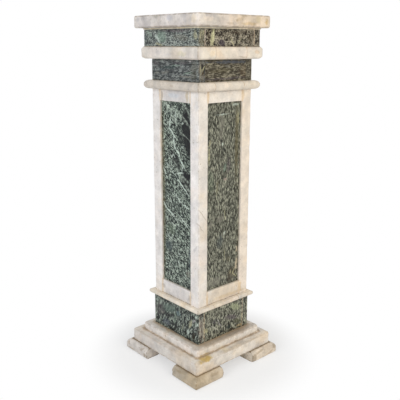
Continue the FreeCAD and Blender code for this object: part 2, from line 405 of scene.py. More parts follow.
    def marked(
        self,
        colour: Signal,
        place: Signal,
        ragged: Signal,
        texture: Signal,
        faces: Sequence[Face],
    ) -> Signal:
        """Lay the marks of some faces over a colour.

        Args:
            colour: what is under them.
            place: the place on the object, pushed about a little so that veins wander.
            ragged: noise that frays their edges.
            texture: the stone's own light and shade, about 1, which shows through them.
            faces: the marks by face.

        Returns:
            The colour with its marks.
        """
        fray = (ragged - 0.5) * 1.5
        grey = self.join(texture, texture, texture)
        for face in faces:
            seen = self.seen_from(face.side, place)
            for mark in face.marks:
                sockets = {
                    "Vector": seen,
                    "Location": (mark.along * MM, -face.reach * MM, mark.up * MM),
                    "Rotation": (0.0, -math.radians(mark.tilt), 0.0),
                    "Scale": (mark.half_length * MM, mark.depth * MM, mark.half_width * MM),
                }
                local = self.node("ShaderNodeMapping", {"vector_type": "TEXTURE"}, sockets)
                cover = (self.length(local) + fray).rise(1.15, 0.5)
                tint = self.multiply(mark.tint, grey)
                colour = self.mix(cover * mark.strength, colour, tint)
        return colour

    def surface(
        self,
        colour: Signal,
        roughness: Amount,
        relief: Signal | None = None,
        depth: float = 0.0,
        metallic: float = 0.0,
        gloss: float = 0.5,
    ) -> bpy.types.Material:
        """Close the material with one surface.

        Args:
            colour: its base colour.
            roughness: its roughness.
            relief: a height, from 0 to 1, that the light picks out.
            depth: how deep that relief is, in metres.
            metallic: 1 for bare metal.
            gloss: how strongly a stone mirrors, 0.5 for clean polish.

        Returns:
            The finished material.
        """
        sockets = {
            "Base Color": colour,
            "Roughness": roughness,
            "Metallic": metallic,
            "Specular IOR Level": gloss,
        }
        if relief is not None:
            bump = {"Height": relief, "Distance": depth, "Strength": 1.0}
            sockets["Normal"] = self.node("ShaderNodeBump", None, bump)
        shader = self.node("ShaderNodeBsdfPrincipled", None, sockets)
        self.node("ShaderNodeOutputMaterial", None, {"Surface": shader})
        return self.owner


# ---------------------------------------------------------------- finishes


@dataclass(frozen=True)
class WhiteMarble:
    """Cream white marble with soft grey clouds, ochre tints, and dirt with painted shade in its
    crevices.
    """

    name: str
    body: Colour = screen(228, 221, 210)
    cloud: Colour = screen(178, 174, 170)
    ochre: Colour = screen(222, 196, 158)
    blush: Colour = screen(224, 206, 194)
    dirt: Colour = screen(132, 112, 84)
    cloud_share: float = 0.5
    ochre_share: float = 0.5
    blush_share: float = 0.3
    vein_share: float = 0.35
    stain_share: float = 0.65
    speck_share: float = 0.35
    speck_scale: float = 62.0
    arris_dirt: float = 0.5
    crevice_dirt: float = 0.85
    mottling: float = 0.7
    roughness: float = 0.42
    faces: tuple[Face, ...] = ()

    @property
    def light(self) -> float:
        """What brings the mean shade of grain and mottling back to 1."""
        return 0.89 - self.mottling / 2

    def make(self) -> bpy.types.Material:
        """Build the material.

        Returns:
            The finished material.
        """
        paint = Painter.of_material(self.name)
        here = paint.coordinates()
        stone = paint.attribute("stone")
        place = paint.shift(here, paint.join(stone * 3.1, stone * 1.7, stone * 2.3))
        grain = paint.noise(place, 240.0, 3.0, 0.6)
        mottle = paint.noise(paint.warp(place, 40.0, 0.012), 30.0, 5.0, 0.62)
        ragged = paint.noise(place, 75.0, 5.0, 0.65)
        colour = self.clouded(paint, place)
        pushed = paint.warp(here, 55.0, 0.012)
        colour = paint.marked(colour, pushed, ragged, mottle * 0.4 + 0.8, self.faces)
        stain = (paint.attribute("stain") + (ragged - 0.5) * 1.1).rise(0.25, 1.05)
        colour = paint.mix(stain * self.stain_share, colour, self.ochre)
        # Darkening along the crevice lines: dirt, with painted shade in the crevices and under
        # overhangs.
        grime = paint.attribute("grime") + (ragged - 0.5) * 0.9 + (grain - 0.5) * 0.7
        grime = grime.rise(0.22, 0.95)
        colour = self.dirtied(paint, colour, place, ragged, grime)
        colour = paint.shade(colour, grain * 0.22 + mottle * self.mottling + self.light)
        roughness = grime * 0.25 + ragged * 0.16 + (self.roughness - 0.08)
        return paint.surface(colour, roughness, grain * 0.4 + ragged * 0.6, 0.3 * MM, gloss=0.35)

    def clouded(self, paint: Painter, place: Signal) -> Signal:
        """Lay the stone's tints, clouds and veins over its body colour.

        Args:
            paint: makes the nodes.
            place: the place in this stone, different for each.

        Returns:
            The clean stone's colour.
        """
        drift = paint.warp(place, 13.0, 0.045)
        rosy = paint.noise(paint.shift(drift, (4.0, 1.0, 2.0)), 12.0, 3.0).rise(0.48, 0.7)
        tint = paint.noise(paint.shift(drift, (7.0, 3.0, 5.0)), 10.0, 4.0, 0.6).rise(0.48, 0.68)
        clouds = paint.noise(drift, 17.0, 5.0, 0.6).rise(0.46, 0.7)
        veins = paint.ridge(paint.stretch(drift, (1.0, 1.0, 0.5)), 11.0, 0.02, 3.0)
        veins = veins * paint.noise(place, 16.0).rise(0.45, 0.6)
        colour = paint.mix(rosy * self.blush_share, self.body, self.blush)
        colour = paint.mix(tint * self.ochre_share, colour, self.ochre)
        colour = paint.mix(clouds * self.cloud_share, colour, self.cloud)
        return paint.mix(veins * self.vein_share, colour, self.cloud)

    def dirtied(
        self, paint: Painter, colour: Signal, place: Signal, ragged: Signal, grime: Signal
    ) -> Signal:
        """Lay dirt in the stone's pits and along its arrises, and dirt with painted shade in its
        crevices.

        Args:
            paint: makes the nodes.
            colour: the stone's colour.
            place: the place in this stone.
            ragged: noise that breaks the dirt up.
            grime: how thick the dirt and painted shade of the crevices lie, from 0 to 1.

        Returns:
            The dirty stone's colour.
        """
        specks = paint.cells(paint.warp(place, 90.0, 0.01), self.speck_scale, "F1")
        specks = specks.rise(0.2, 0.06) * ragged.rise(0.48, 0.56)
        worn = paint.attribute("arris").rise(0.5, 0.8) * ragged.rise(0.35, 0.58)
        colour = paint.mix(specks * self.speck_share, colour, self.dirt)
        colour = paint.mix(worn * self.arris_dirt, colour, self.dirt)
        return paint.mix(grime * self.crevice_dirt, colour, self.dirt)


@dataclass(frozen=True)
class GreenMarble:
    """Green serpentine marble: dark ground, paler flakes, streaks, veins and its own marks.

    The slant is the lie of the streaks in degrees, anticlockwise from level, as the side is
    seen. The stretch is how many times longer than wide they are, and the sway how far in
    metres they wander.
    """

    name: str
    side: Side
    seed: float
    dark: Colour = screen(20, 25, 26)
    ground: Colour = screen(84, 94, 86)
    pale: Colour = screen(132, 145, 131)
    vein: Colour = screen(192, 203, 187)
    slant: float = -38.0
    stretch: float = 2.8
    sway: float = 0.012
    grain: float = 215.0
    contrast: float = 2.6
    broad_share: float = 0.35
    flake_share: float = 0.3
    crumb_share: float = 0.5
    vein_scale: float = 9.0
    vein_thin: float = 0.02
    vein_share: float = 0.55
    net_share: float = 0.0
    net_scale: float = 75.0
    roughness: float = 0.34
    faces: tuple[Face, ...] = ()

    def make(self) -> bpy.types.Material:
        """Build the material.

        Returns:
            The finished material.
        """
        paint = Painter.of_material(self.name)
        here = paint.coordinates()
        seen = paint.seen_from(self.side, here)
        seeded = paint.shift(seen, (self.seed * 1.3, self.seed * 2.1, self.seed * 0.7))
        leaning = paint.lean(seeded, self.slant)
        drift = paint.warp(leaning, 26.0, self.sway)
        streaky = paint.stretch(drift, (1.0 / self.stretch, 1.0, 1.0))
        coarse = paint.noise(streaky, self.grain, 4.0, 0.7)
        broad = paint.noise(drift, self.grain * 0.24, 3.0, 0.5)
        colour = self.flecked(paint, streaky, coarse, broad)
        if self.net_share:
            wandering = paint.warp(streaky, 70.0, 0.012)
            walls = paint.cells(wandering, self.net_scale, "DISTANCE_TO_EDGE")
            net = walls.rise(0.14, 0.0) * broad.rise(0.42, 0.58)
            colour = paint.mix(net * self.net_share, colour, self.vein)
        ragged = paint.noise(seeded, 120.0, 4.0, 0.65)
        pushed = paint.warp(here, 70.0, 0.01, 2.0)
        colour = paint.marked(colour, pushed, ragged, (coarse - 0.5) * 2.4 + 1.0, self.faces)
        lines = paint.ridge(
            paint.stretch(drift, (0.25, 1.0, 1.0)), self.vein_scale, self.vein_thin, 3.0
        )
        lines = lines * ragged.rise(0.36, 0.6)
        colour = paint.mix(lines * self.vein_share, colour, self.vein)
        roughness = self.roughness + ragged.rise(0.4, 0.75) * 0.2
        return paint.surface(colour, roughness, coarse * 0.5 + lines * 0.5, 0.12 * MM, gloss=0.2)

    def flecked(self, paint: Painter, streaky: Signal, coarse: Signal, broad: Signal) -> Signal:
        """Scatter dark and pale flecks over the stone's ground.

        Args:
            paint: makes the nodes.
            streaky: the place, shortened along the streaks.
            coarse: the noise of the main flecks.
            broad: the noise of larger patches.

        Returns:
            The colour of the ground and its flecks.
        """
        crumbs = paint.noise(paint.warp(streaky, 160.0, 0.006), self.grain * 2.3, 3.0, 0.6)
        flakes = paint.cells(streaky, self.grain * 0.9, "F1")
        swing = (coarse - 0.5) + (crumbs - 0.5) * self.crumb_share
        swing = swing + (broad - 0.5) * self.broad_share + (0.42 - flakes) * self.flake_share
        stops = (
            (0.0, self.dark),
            (0.27, self.dark),
            (0.47, self.ground),
            (0.66, self.pale),
            (0.92, self.vein),
        )
        return paint.node("ShaderNodeValToRGB", {"stops": stops}, {0: swing * self.contrast + 0.5})


@dataclass(frozen=True)
class Mortar:
    """Lime mortar, sandy and stained."""

    name: str
    body: Colour = screen(190, 172, 142)
    stain: Colour = screen(104, 86, 62)

    def make(self) -> bpy.types.Material:
        """Build the material.

        Returns:
            The finished material.
        """
        paint = Painter.of_material(self.name)
        place = paint.coordinates()
        stain = paint.noise(place, 150.0, 4.0, 0.6).rise(0.42, 0.58)
        sand = paint.noise(place, 900.0, 2.0)
        colour = paint.mix(stain, self.body, self.stain)
        colour = paint.shade(colour, sand * 0.5 + 0.75)
        return paint.surface(colour, stain * 0.15 + 0.75, sand, 0.2 * MM, gloss=0.2)


@dataclass(frozen=True)
class MillSteel:
    """Plain steel with mill scale and fine draw marks."""

    name: str
    body: Colour = (0.36, 0.355, 0.35)
    scale: Colour = (0.12, 0.10, 0.09)

    def make(self) -> bpy.types.Material:
        """Build the material.

        Returns:
            The finished material.
        """
        paint = Painter.of_material(self.name)
        place = paint.coordinates()
        marks = paint.noise(paint.stretch(place, (1.0, 1.0, 0.04)), 900.0, 3.0)
        blotch = paint.noise(place, 60.0, 4.0, 0.6).rise(0.45, 0.7)
        colour = paint.mix(blotch * 0.7, self.body, self.scale)
        roughness = blotch * 0.3 + marks * 0.1 + 0.38
        return paint.surface(colour, roughness, marks, 0.05 * MM, metallic=1.0)


# ---------------------------------------------------------------- marks seen on the stand

NIGHT = screen(16, 17, 20)
SLATE = screen(64, 74, 76)
MOSS = screen(104, 118, 98)
OLIVE = screen(92, 86, 62)
BARK = screen(62, 50, 34)
PLUM = screen(84, 76, 80)
FROST = screen(196, 208, 196)
SAGE = screen(126, 146, 130)
STRAW = screen(176, 172, 136)
ASH = screen(128, 126, 114)
CREAM = screen(226, 208, 178)
AMBER = screen(204, 170, 104)
PEWTER = screen(178, 174, 172)
EARTH = screen(142, 120, 88)
ROSE = screen(222, 198, 184)

LEFT_PANEL = Face(
    Side.LEFT,
    99.0,
    (
        Mark(50, 762, 94, 36, 97, NIGHT, 0.97),
        Mark(14, 742, 62, 13, 104, NIGHT, 0.5),
        Mark(40, 806, 32, 14, 60, NIGHT, 0.5),
        Mark(-4, 664, 38, 17, -58, NIGHT, 0.88),
        Mark(-22, 690, 16, 12, -40, NIGHT, 0.6),
        Mark(52, 610, 48, 36, -62, NIGHT, 1.0),
        Mark(-13, 788, 17, 6, 88, NIGHT, 0.75),
        Mark(-42, 742, 13, 8, 0, NIGHT, 0.55),
        Mark(58, 380, 70, 6, 88, SLATE, 0.55),
        Mark(-43, 388, 23, 20, 0, SLATE, 0.75),
        Mark(-32, 447, 26, 18, -20, MOSS, 0.45),
        Mark(50, 316, 13, 12, 0, ASH, 0.5),
        Mark(-66, 560, 300, 7, 90, OLIVE, 0.6),
        Mark(-32, 785, 28, 2.6, 74, FROST, 0.8),
        Mark(-6, 806, 20, 2.4, 84, FROST, 0.8),
        Mark(-20, 752, 26, 3.2, -46, FROST, 0.85),
        Mark(-14, 722, 22, 3.4, -82, FROST, 0.85),
        Mark(2, 698, 24, 3.4, -50, FROST, 0.9),
        Mark(20, 668, 24, 3.2, -52, FROST, 0.9),
        Mark(26, 650, 12, 2.8, 70, FROST, 0.8),
        Mark(14, 634, 18, 3.4, 12, FROST, 0.9),
        Mark(27, 786, 5, 5, 0, FROST, 0.8),
        Mark(26, 716, 7, 5, 20, FROST, 0.6),
        Mark(-24, 680, 9, 2.2, 50, FROST, 0.75),
        Mark(-14, 684, 9, 2.2, -50, FROST, 0.75),
        Mark(-30, 640, 34, 2.0, -40, FROST, 0.75),
        Mark(28, 592, 44, 2.8, -39, FROST, 0.95),
        Mark(-62, 630, 18, 2.4, -62, FROST, 0.7),
        Mark(-62, 520, 15, 2.8, -55, FROST, 0.85),
        Mark(-36, 502, 24, 3.2, -29, FROST, 0.95),
        Mark(-6, 480, 24, 1.8, -46, FROST, 0.6),
        Mark(8, 549, 30, 2.2, -34, FROST, 0.7),
        Mark(44, 532, 17, 2.8, -22, FROST, 0.95),
        Mark(30, 484, 34, 2.2, -35, FROST, 0.8),
        Mark(-38, 418, 20, 2.4, -26, FROST, 0.7),
        Mark(40, 306, 26, 1.6, -29, FROST, 0.5),
        Mark(7, 372, 5, 4, 30, FROST, 0.7),
        Mark(4, 344, 6, 4, -30, FROST, 0.7),
        Mark(25, 340, 6, 4, 20, FROST, 0.6),
        Mark(-6, 398, 6, 3, -40, FROST, 0.6),
        Mark(-10, 580, 60, 2.0, -38, SAGE, 0.5),
        Mark(12, 430, 50, 2.0, -40, SAGE, 0.45),
        Mark(-20, 330, 46, 2.0, -36, SAGE, 0.45),
    ),
)

FRONT_PANEL = Face(
    Side.FRONT,
    99.0,
    (
        Mark(56, 720, 130, 9, 90, OLIVE, 0.75),
        Mark(60, 800, 22, 6, 90, STRAW, 0.45),
        Mark(48, 838, 16, 4, 5, FROST, 0.5),
        Mark(-8, 770, 60, 9, 88, ASH, 0.5),
        Mark(-5, 811, 7, 4, 0, FROST, 0.7),
        Mark(-3, 812, 34, 1.6, 0, FROST, 0.4),
        Mark(-4, 723, 6, 4, 70, FROST, 0.8),
        Mark(-7, 734, 9, 5, 10, NIGHT, 0.75),
        Mark(5, 706, 11, 6, -50, NIGHT, 0.8),
        Mark(8, 650, 16, 6, 80, SAGE, 0.5),
        Mark(24, 655, 26, 9, 85, PLUM, 0.5),
        Mark(10, 612, 6, 6, 0, ROSE, 0.35),
        Mark(-58, 690, 24, 4, 90, STRAW, 0.55),
        Mark(-56, 730, 14, 4, 80, STRAW, 0.4),
        Mark(-50, 610, 40, 14, 90, MOSS, 0.35),
        Mark(-24, 590, 30, 5, 85, STRAW, 0.3),
        Mark(9, 500, 20, 2.2, -78, STRAW, 0.7),
        Mark(10, 366, 28, 1.8, 88, STRAW, 0.7),
        Mark(-10, 490, 18, 12, 0, ASH, 0.7),
        Mark(-10, 416, 26, 14, 80, SLATE, 0.5),
        Mark(10, 440, 8, 4, 60, FROST, 0.45),
        Mark(-54, 474, 22, 12, 60, ASH, 0.45),
        Mark(-48, 444, 8, 7, 0, NIGHT, 0.6),
        Mark(-60, 488, 8, 3, 0, NIGHT, 0.8),
        Mark(50, 470, 30, 6, 85, NIGHT, 0.45),
        Mark(40, 528, 8, 5, 80, NIGHT, 0.6),
        Mark(-36, 288, 38, 16, 0, ASH, 0.6),
        Mark(42, 296, 30, 20, 60, BARK, 0.6),
        Mark(50, 300, 14, 2.4, 60, STRAW, 0.8),
        Mark(38, 304, 10, 2.2, 70, STRAW, 0.7),
        Mark(58, 288, 12, 2.4, -50, STRAW, 0.7),
        Mark(63, 325, 22, 5, 85, CREAM, 0.6),
        Mark(64, 376, 12, 4, 90, CREAM, 0.5),
        Mark(28, 350, 14, 10, 0, OLIVE, 0.4),
    ),
)

LEFT_UPPER_FRIEZE = Face(
    Side.LEFT,
    123.0,
    (
        Mark(-38, 1034, 26, 17, -20, SAGE, 0.55),
        Mark(-56, 1029, 17, 4, -42, FROST, 0.75),
        Mark(-50, 1013, 20, 4, -8, STRAW, 0.5),
        Mark(30, 1050, 80, 5, 0, PLUM, 0.65),
        Mark(-4, 1049, 6, 5, 0, NIGHT, 0.7),
        Mark(18, 1026, 22, 1.6, 88, NIGHT, 0.6),
        Mark(-95, 1019, 8, 4, 0, NIGHT, 0.7),
        Mark(-75, 1016, 8, 3, 10, NIGHT, 0.5),
        Mark(48, 1032, 40, 9, -6, ASH, 0.4),
        Mark(-96, 1044, 16, 5, -30, SAGE, 0.6),
        Mark(112, 1036, 10, 16, 0, STRAW, 0.5),
        Mark(-116, 1036, 5, 16, 0, SLATE, 0.6),
    ),
)

FRONT_UPPER_FRIEZE = Face(
    Side.FRONT,
    123.0,
    (
        Mark(-36, 1018, 17, 11, -15, screen(52, 42, 54), 0.8),
        Mark(30, 1046, 40, 6, 0, BARK, 0.5),
        Mark(84, 1030, 14, 18, 0, BARK, 0.45),
        Mark(-84, 1034, 6, 20, 5, BARK, 0.6),
        Mark(-69, 1031, 30, 8, 84, STRAW, 0.9),
        Mark(-66, 1038, 22, 3, 82, screen(206, 206, 164), 0.85),
        Mark(7, 1020, 15, 2.2, -62, STRAW, 0.7),
        Mark(40, 1026, 16, 1.8, 50, STRAW, 0.5),
        Mark(-98, 1034, 26, 2.6, 88, PEWTER, 0.8),
        Mark(98, 1030, 26, 2.0, 90, screen(150, 128, 110), 0.5),
    ),
)

LEFT_LOWER_FRIEZE = Face(
    Side.LEFT,
    107.0,
    (
        Mark(-23, 947, 38, 4, 0, screen(48, 62, 60), 0.85),
        Mark(-62, 940, 20, 4, 6, SLATE, 0.6),
        Mark(5, 953, 20, 1.8, 3, SAGE, 0.7),
        Mark(88, 940, 18, 30, 0, OLIVE, 0.3),
        Mark(-88, 958, 16, 8, 0, PLUM, 0.5),
        Mark(30, 961, 40, 4, 0, PLUM, 0.5),
        Mark(68, 956, 10, 3, 0, NIGHT, 0.7),
        Mark(64, 938, 9, 3, -10, NIGHT, 0.7),
        Mark(70, 965, 7, 4, -10, PEWTER, 0.8),
        Mark(60, 932, 24, 1.9, 6, SAGE, 0.8),
        Mark(50, 922, 36, 2.2, 0, ASH, 0.7),
        Mark(-45, 932, 24, 4, 3, ASH, 0.4),
        Mark(-10, 934, 20, 1.6, 12, NIGHT, 0.5),
        Mark(-84, 930, 10, 3, 0, ASH, 0.5),
    ),
)

FRONT_LOWER_FRIEZE = Face(
    Side.FRONT,
    107.0,
    (
        Mark(20, 963, 86, 5, 0, screen(78, 82, 88), 0.85),
        Mark(-86, 961, 24, 4, 6, screen(96, 102, 104), 0.6),
        Mark(-20, 940, 50, 8, 2, screen(82, 76, 54), 0.5),
        Mark(6, 951, 12, 5, -8, ASH, 0.6),
        Mark(0, 917, 96, 4, 1, PLUM, 0.55),
        Mark(-36, 912, 14, 2.4, 4, BARK, 0.7),
        Mark(78, 936, 24, 22, 0, screen(106, 90, 66), 0.35),
        Mark(86, 934, 10, 4, 10, AMBER, 0.35),
        Mark(66, 930, 14, 2.4, 4, BARK, 0.6),
        Mark(50, 926, 10, 3, -5, NIGHT, 0.5),
    ),
)

# The left plates run through, so their ends show on the front face.
UPPER_FRIEZE_END = Face(
    Side.FRONT,
    123.0,
    (
        Mark(-110, 1031, 13, 30, 0, screen(121, 112, 86), 0.6, 10.0),
        Mark(-113, 1040, 12, 2.2, 80, STRAW, 0.6, 8.0),
        Mark(-104, 1022, 12, 2.4, 96, BARK, 0.7, 8.0),
        Mark(-116, 1018, 7, 3.0, 60, BARK, 0.6, 8.0),
        Mark(-104, 1044, 7, 2.6, 70, STRAW, 0.5, 8.0),
    ),
)

LOWER_FRIEZE_END = Face(
    Side.FRONT,
    107.0,
    (
        Mark(-94, 939, 13, 36, 0, screen(122, 113, 97), 0.6, 10.0),
        Mark(-92, 950, 13, 4.4, -74, NIGHT, 0.85, 8.0),
        Mark(-91, 934, 11, 4.0, 60, BARK, 0.95, 8.0),
        Mark(-85, 944, 18, 3.4, 86, NIGHT, 0.8, 8.0),
        Mark(-98, 944, 16, 2.2, 84, STRAW, 0.55, 8.0),
        Mark(-89, 947, 9, 2.0, 62, STRAW, 0.7, 8.0),
        Mark(-99, 924, 9, 3.0, 30, ASH, 0.6, 8.0),
    ),
)

BLOCK_END = Face(
    Side.FRONT,
    110.0,
    (
        Mark(-97, 146, 13, 62, 0, screen(143, 133, 121), 0.55, 10.0),
        Mark(-103, 158, 40, 2.0, 92, screen(186, 176, 160), 0.8, 8.0),
        Mark(-95, 140, 36, 2.2, 87, screen(92, 74, 62), 0.65, 8.0),
        Mark(-89, 150, 44, 2.0, 91, screen(190, 184, 160), 0.7, 8.0),
        Mark(-100, 116, 12, 5.0, 70, NIGHT, 0.6, 8.0),
    ),
)

LEFT_BLOCK = Face(
    Side.LEFT,
    110.0,
    (
        Mark(-84, 157, 32, 24, 10, screen(70, 66, 66), 0.7),
        Mark(-32, 176, 38, 17, 8, screen(92, 108, 98), 0.7),
        Mark(-48, 120, 24, 13, 10, screen(72, 78, 90), 0.65),
        Mark(13, 172, 13, 10, 30, screen(86, 108, 112), 0.6),
        Mark(-97, 184, 5, 6, 60, FROST, 0.5),
        Mark(-70, 148, 9, 4, 0, ASH, 0.5),
        Mark(-4, 150, 22, 5, 82, screen(126, 142, 126), 0.6),
        Mark(36, 134, 18, 4, 74, screen(142, 148, 130), 0.65),
        Mark(60, 126, 14, 7, 80, FROST, 0.75),
        Mark(73, 158, 22, 6, 70, STRAW, 0.55),
        Mark(88, 119, 16, 8, 78, screen(38, 34, 20), 0.85),
        Mark(86, 184, 8, 7, 20, NIGHT, 0.8),
        Mark(72, 140, 12, 4, 80, NIGHT, 0.6),
        Mark(46, 118, 12, 4, 80, NIGHT, 0.6),
        Mark(100, 190, 7, 5, 30, FROST, 0.85),
        Mark(104, 164, 9, 3.4, 50, FROST, 0.7),
        Mark(96, 150, 10, 2.6, 55, PEWTER, 0.6),
        Mark(90, 172, 14, 2.6, 48, PEWTER, 0.6),
    ),
)

FRONT_BLOCK = Face(
    Side.FRONT,
    110.0,
    (
        Mark(52, 181, 28, 13, -22, screen(150, 156, 126), 0.8),
        Mark(34, 150, 38, 9, -16, PLUM, 0.7),
        Mark(62, 128, 20, 9, -20, screen(62, 62, 38), 0.7),
        Mark(20, 118, 16, 10, -30, screen(44, 54, 50), 0.7),
        Mark(-40, 156, 12, 10, 0, screen(62, 60, 66), 0.6),
        Mark(-6, 113, 8, 6, 0, NIGHT, 0.7),
        Mark(-20, 146, 24, 3, -62, PEWTER, 0.45),
        Mark(-36, 132, 20, 3.0, -38, screen(176, 176, 160), 0.85),
        Mark(-70, 168, 24, 2.6, -64, ASH, 0.6),
        Mark(-56, 186, 16, 3, 80, ASH, 0.5),
        Mark(-32, 180, 14, 3, 84, ASH, 0.5),
        Mark(-80, 138, 16, 10, -30, STRAW, 0.6),
        Mark(86, 158, 42, 2.6, 88, STRAW, 0.65),
        Mark(80, 108, 26, 5, 0, AMBER, 0.25),
        Mark(40, 104, 20, 4, -4, BARK, 0.6),
    ),
)

CAP_MARBLE = WhiteMarble(
    "cap_marble",
    body=screen(217, 208, 195),
    cloud=screen(166, 161, 162),
    cloud_share=0.75,
    ochre_share=0.6,
    arris_dirt=0.65,
    mottling=1.1,
    faces=(
        Face(
            Side.LEFT,
            147.0,
            (
                Mark(0, 1077, 240, 44, 0, screen(196, 190, 188), 0.5, 30.0),
                Mark(-118, 1082, 16, 9, 10, PEWTER, 0.6),
                Mark(-33, 1089, 11, 5, 0, screen(182, 176, 162), 0.7),
                Mark(28, 1082, 14, 10, 0, screen(176, 174, 178), 0.6),
                Mark(-10, 1078, 2, 14, 0, PEWTER, 0.35),
                Mark(132, 1080, 12, 14, 0, CREAM, 0.5),
            ),
        ),
        Face(
            Side.FRONT,
            147.0,
            (
                Mark(70, 1077, 110, 40, 0, screen(220, 194, 156), 0.4, 30.0),
                Mark(20, 1084, 26, 5, 24, screen(186, 164, 128), 0.45),
                Mark(88, 1082, 14, 12, 0, screen(190, 176, 138), 0.55),
                Mark(-104, 1080, 20, 9, 0, screen(236, 220, 200), 0.5),
                Mark(-76, 1086, 8, 9, 0, PEWTER, 0.3),
                Mark(2, 1079, 6, 4, 0, EARTH, 0.35),
                Mark(55, 1070, 34, 5, 0, AMBER, 0.4),
                Mark(124, 1076, 8, 10, 0, AMBER, 0.6),
                Mark(-20, 1068, 24, 4, -10, EARTH, 0.25),
            ),
        ),
    ),
)
BED_MARBLE = WhiteMarble(
    "bed_marble",
    body=screen(244, 236, 212),
    dirt=screen(128, 110, 78),
    cloud_share=0.2,
    speck_share=0.6,
    arris_dirt=0.3,
    crevice_dirt=0.6,
)
BAR_MARBLE = WhiteMarble(
    "bar_marble",
    body=screen(226, 216, 200),
    cloud=screen(184, 180, 174),
    cloud_share=0.38,
    speck_share=0.6,
    speck_scale=80.0,
    arris_dirt=0.65,
    mottling=0.8,
    faces=(
        Face(
            Side.LEFT,
            130.0,
            (
                Mark(0, 990, 240, 40, 0, screen(204, 198, 194), 0.4, 30.0),
                Mark(0, 895, 240, 30, 0, screen(186, 176, 166), 0.55, 30.0),
                Mark(60, 986, 22, 9, 0, screen(206, 196, 164), 0.5),
                Mark(-44, 990, 16, 8, 0, PEWTER, 0.35),
                Mark(-2, 984, 20, 3, 4, PEWTER, 0.3),
                Mark(10, 896, 9, 7, 0, EARTH, 0.35),
            ),
        ),
        Face(
            Side.FRONT,
            130.0,
            (
                Mark(108, 992, 12, 8, 0, screen(214, 186, 150), 0.5),
                Mark(-76, 988, 14, 9, 0, screen(228, 206, 172), 0.5),
                Mark(44, 978, 22, 2.4, 0, EARTH, 0.3),
            ),
        ),
    ),
)
SHAFT_MARBLE = WhiteMarble(
    "shaft_marble",
    body=screen(229, 222, 212),
    cloud=screen(200, 196, 193),
    cloud_share=0.35,
    ochre_share=0.3,
    speck_share=0.6,
    speck_scale=75.0,
    arris_dirt=0.28,
    mottling=0.65,
    faces=(
        Face(
            Side.LEFT,
            107.0,
            (
                Mark(0, 560, 600, 220, 90, screen(230, 227, 228), 0.4, 6.0),
                # A painted shadow of the torus: the left top rail made darker.
                Mark(0, 866, 72, 40, 0, PEWTER, 0.4, 8.0),
                Mark(0, 243, 72, 50, 0, PEWTER, 0.4, 8.0),
                Mark(-62, 862, 6, 20, 0, EARTH, 0.5),
                Mark(-68, 700, 150, 5, 90, CREAM, 0.5),
                Mark(56, 866, 8, 18, 0, screen(196, 176, 136), 0.6),
                Mark(-6, 866, 34, 8, 0, screen(196, 200, 204), 0.6),
                Mark(92, 410, 12, 6, 60, PEWTER, 0.5),
                Mark(-66, 244, 10, 10, 0, EARTH, 0.4),
                Mark(66, 240, 8, 14, 0, EARTH, 0.35),
            ),
        ),
        Face(
            Side.FRONT,
            107.0,
            (
                Mark(90, 560, 600, 60, 90, screen(232, 212, 184), 0.35, 6.0),
                Mark(-92, 520, 30, 2.0, -50, EARTH, 0.4),
                Mark(-98, 480, 24, 1.8, -52, EARTH, 0.35),
                Mark(-70, 866, 5, 18, 0, AMBER, 0.3),
                Mark(74, 866, 5, 20, 0, AMBER, 0.3),
                Mark(0, 243, 76, 46, 0, screen(206, 184, 150), 0.45, 8.0),
                Mark(20, 232, 80, 6, 0, screen(206, 184, 150), 0.6),
                Mark(76, 246, 7, 20, 0, AMBER, 0.4),
                Mark(-70, 240, 6, 18, 0, AMBER, 0.35),
            ),
        ),
    ),
)
STEP_MARBLE = WhiteMarble(
    "step_marble",
    body=screen(226, 218, 206),
    blush=screen(218, 198, 186),
    dirt=screen(156, 132, 102),
    blush_share=0.35,
    speck_share=0.8,
    speck_scale=95.0,
    arris_dirt=0.45,
    crevice_dirt=0.85,
    mottling=0.9,
    faces=(
        Face(
            Side.LEFT,
            138.0,
            (
                Mark(0, 87, 240, 30, 0, screen(218, 214, 211), 0.45, 14.0),
                Mark(-20, 90, 5, 5, 0, EARTH, 0.5),
            ),
        ),
        Face(Side.LEFT, 165.0, (Mark(0, 55, 260, 34, 0, PEWTER, 0.35, 20.0),)),
        Face(
            Side.FRONT,
            165.0,
            (
                Mark(-122, 75, 30, 8, 2, screen(186, 156, 78), 0.9, 34.0),
                Mark(-104, 78, 24, 5, 0, screen(196, 170, 106), 0.6, 40.0),
                Mark(-34, 78, 20, 6, 0, screen(196, 176, 120), 0.35, 40.0),
                Mark(20, 73, 90, 5, 0, EARTH, 0.35, 20.0),
            ),
        ),
        Face(Side.FRONT, 124.0, (Mark(0, 99, 150, 12, 0, screen(146, 122, 92), 0.6, 18.0),)),
    ),
)
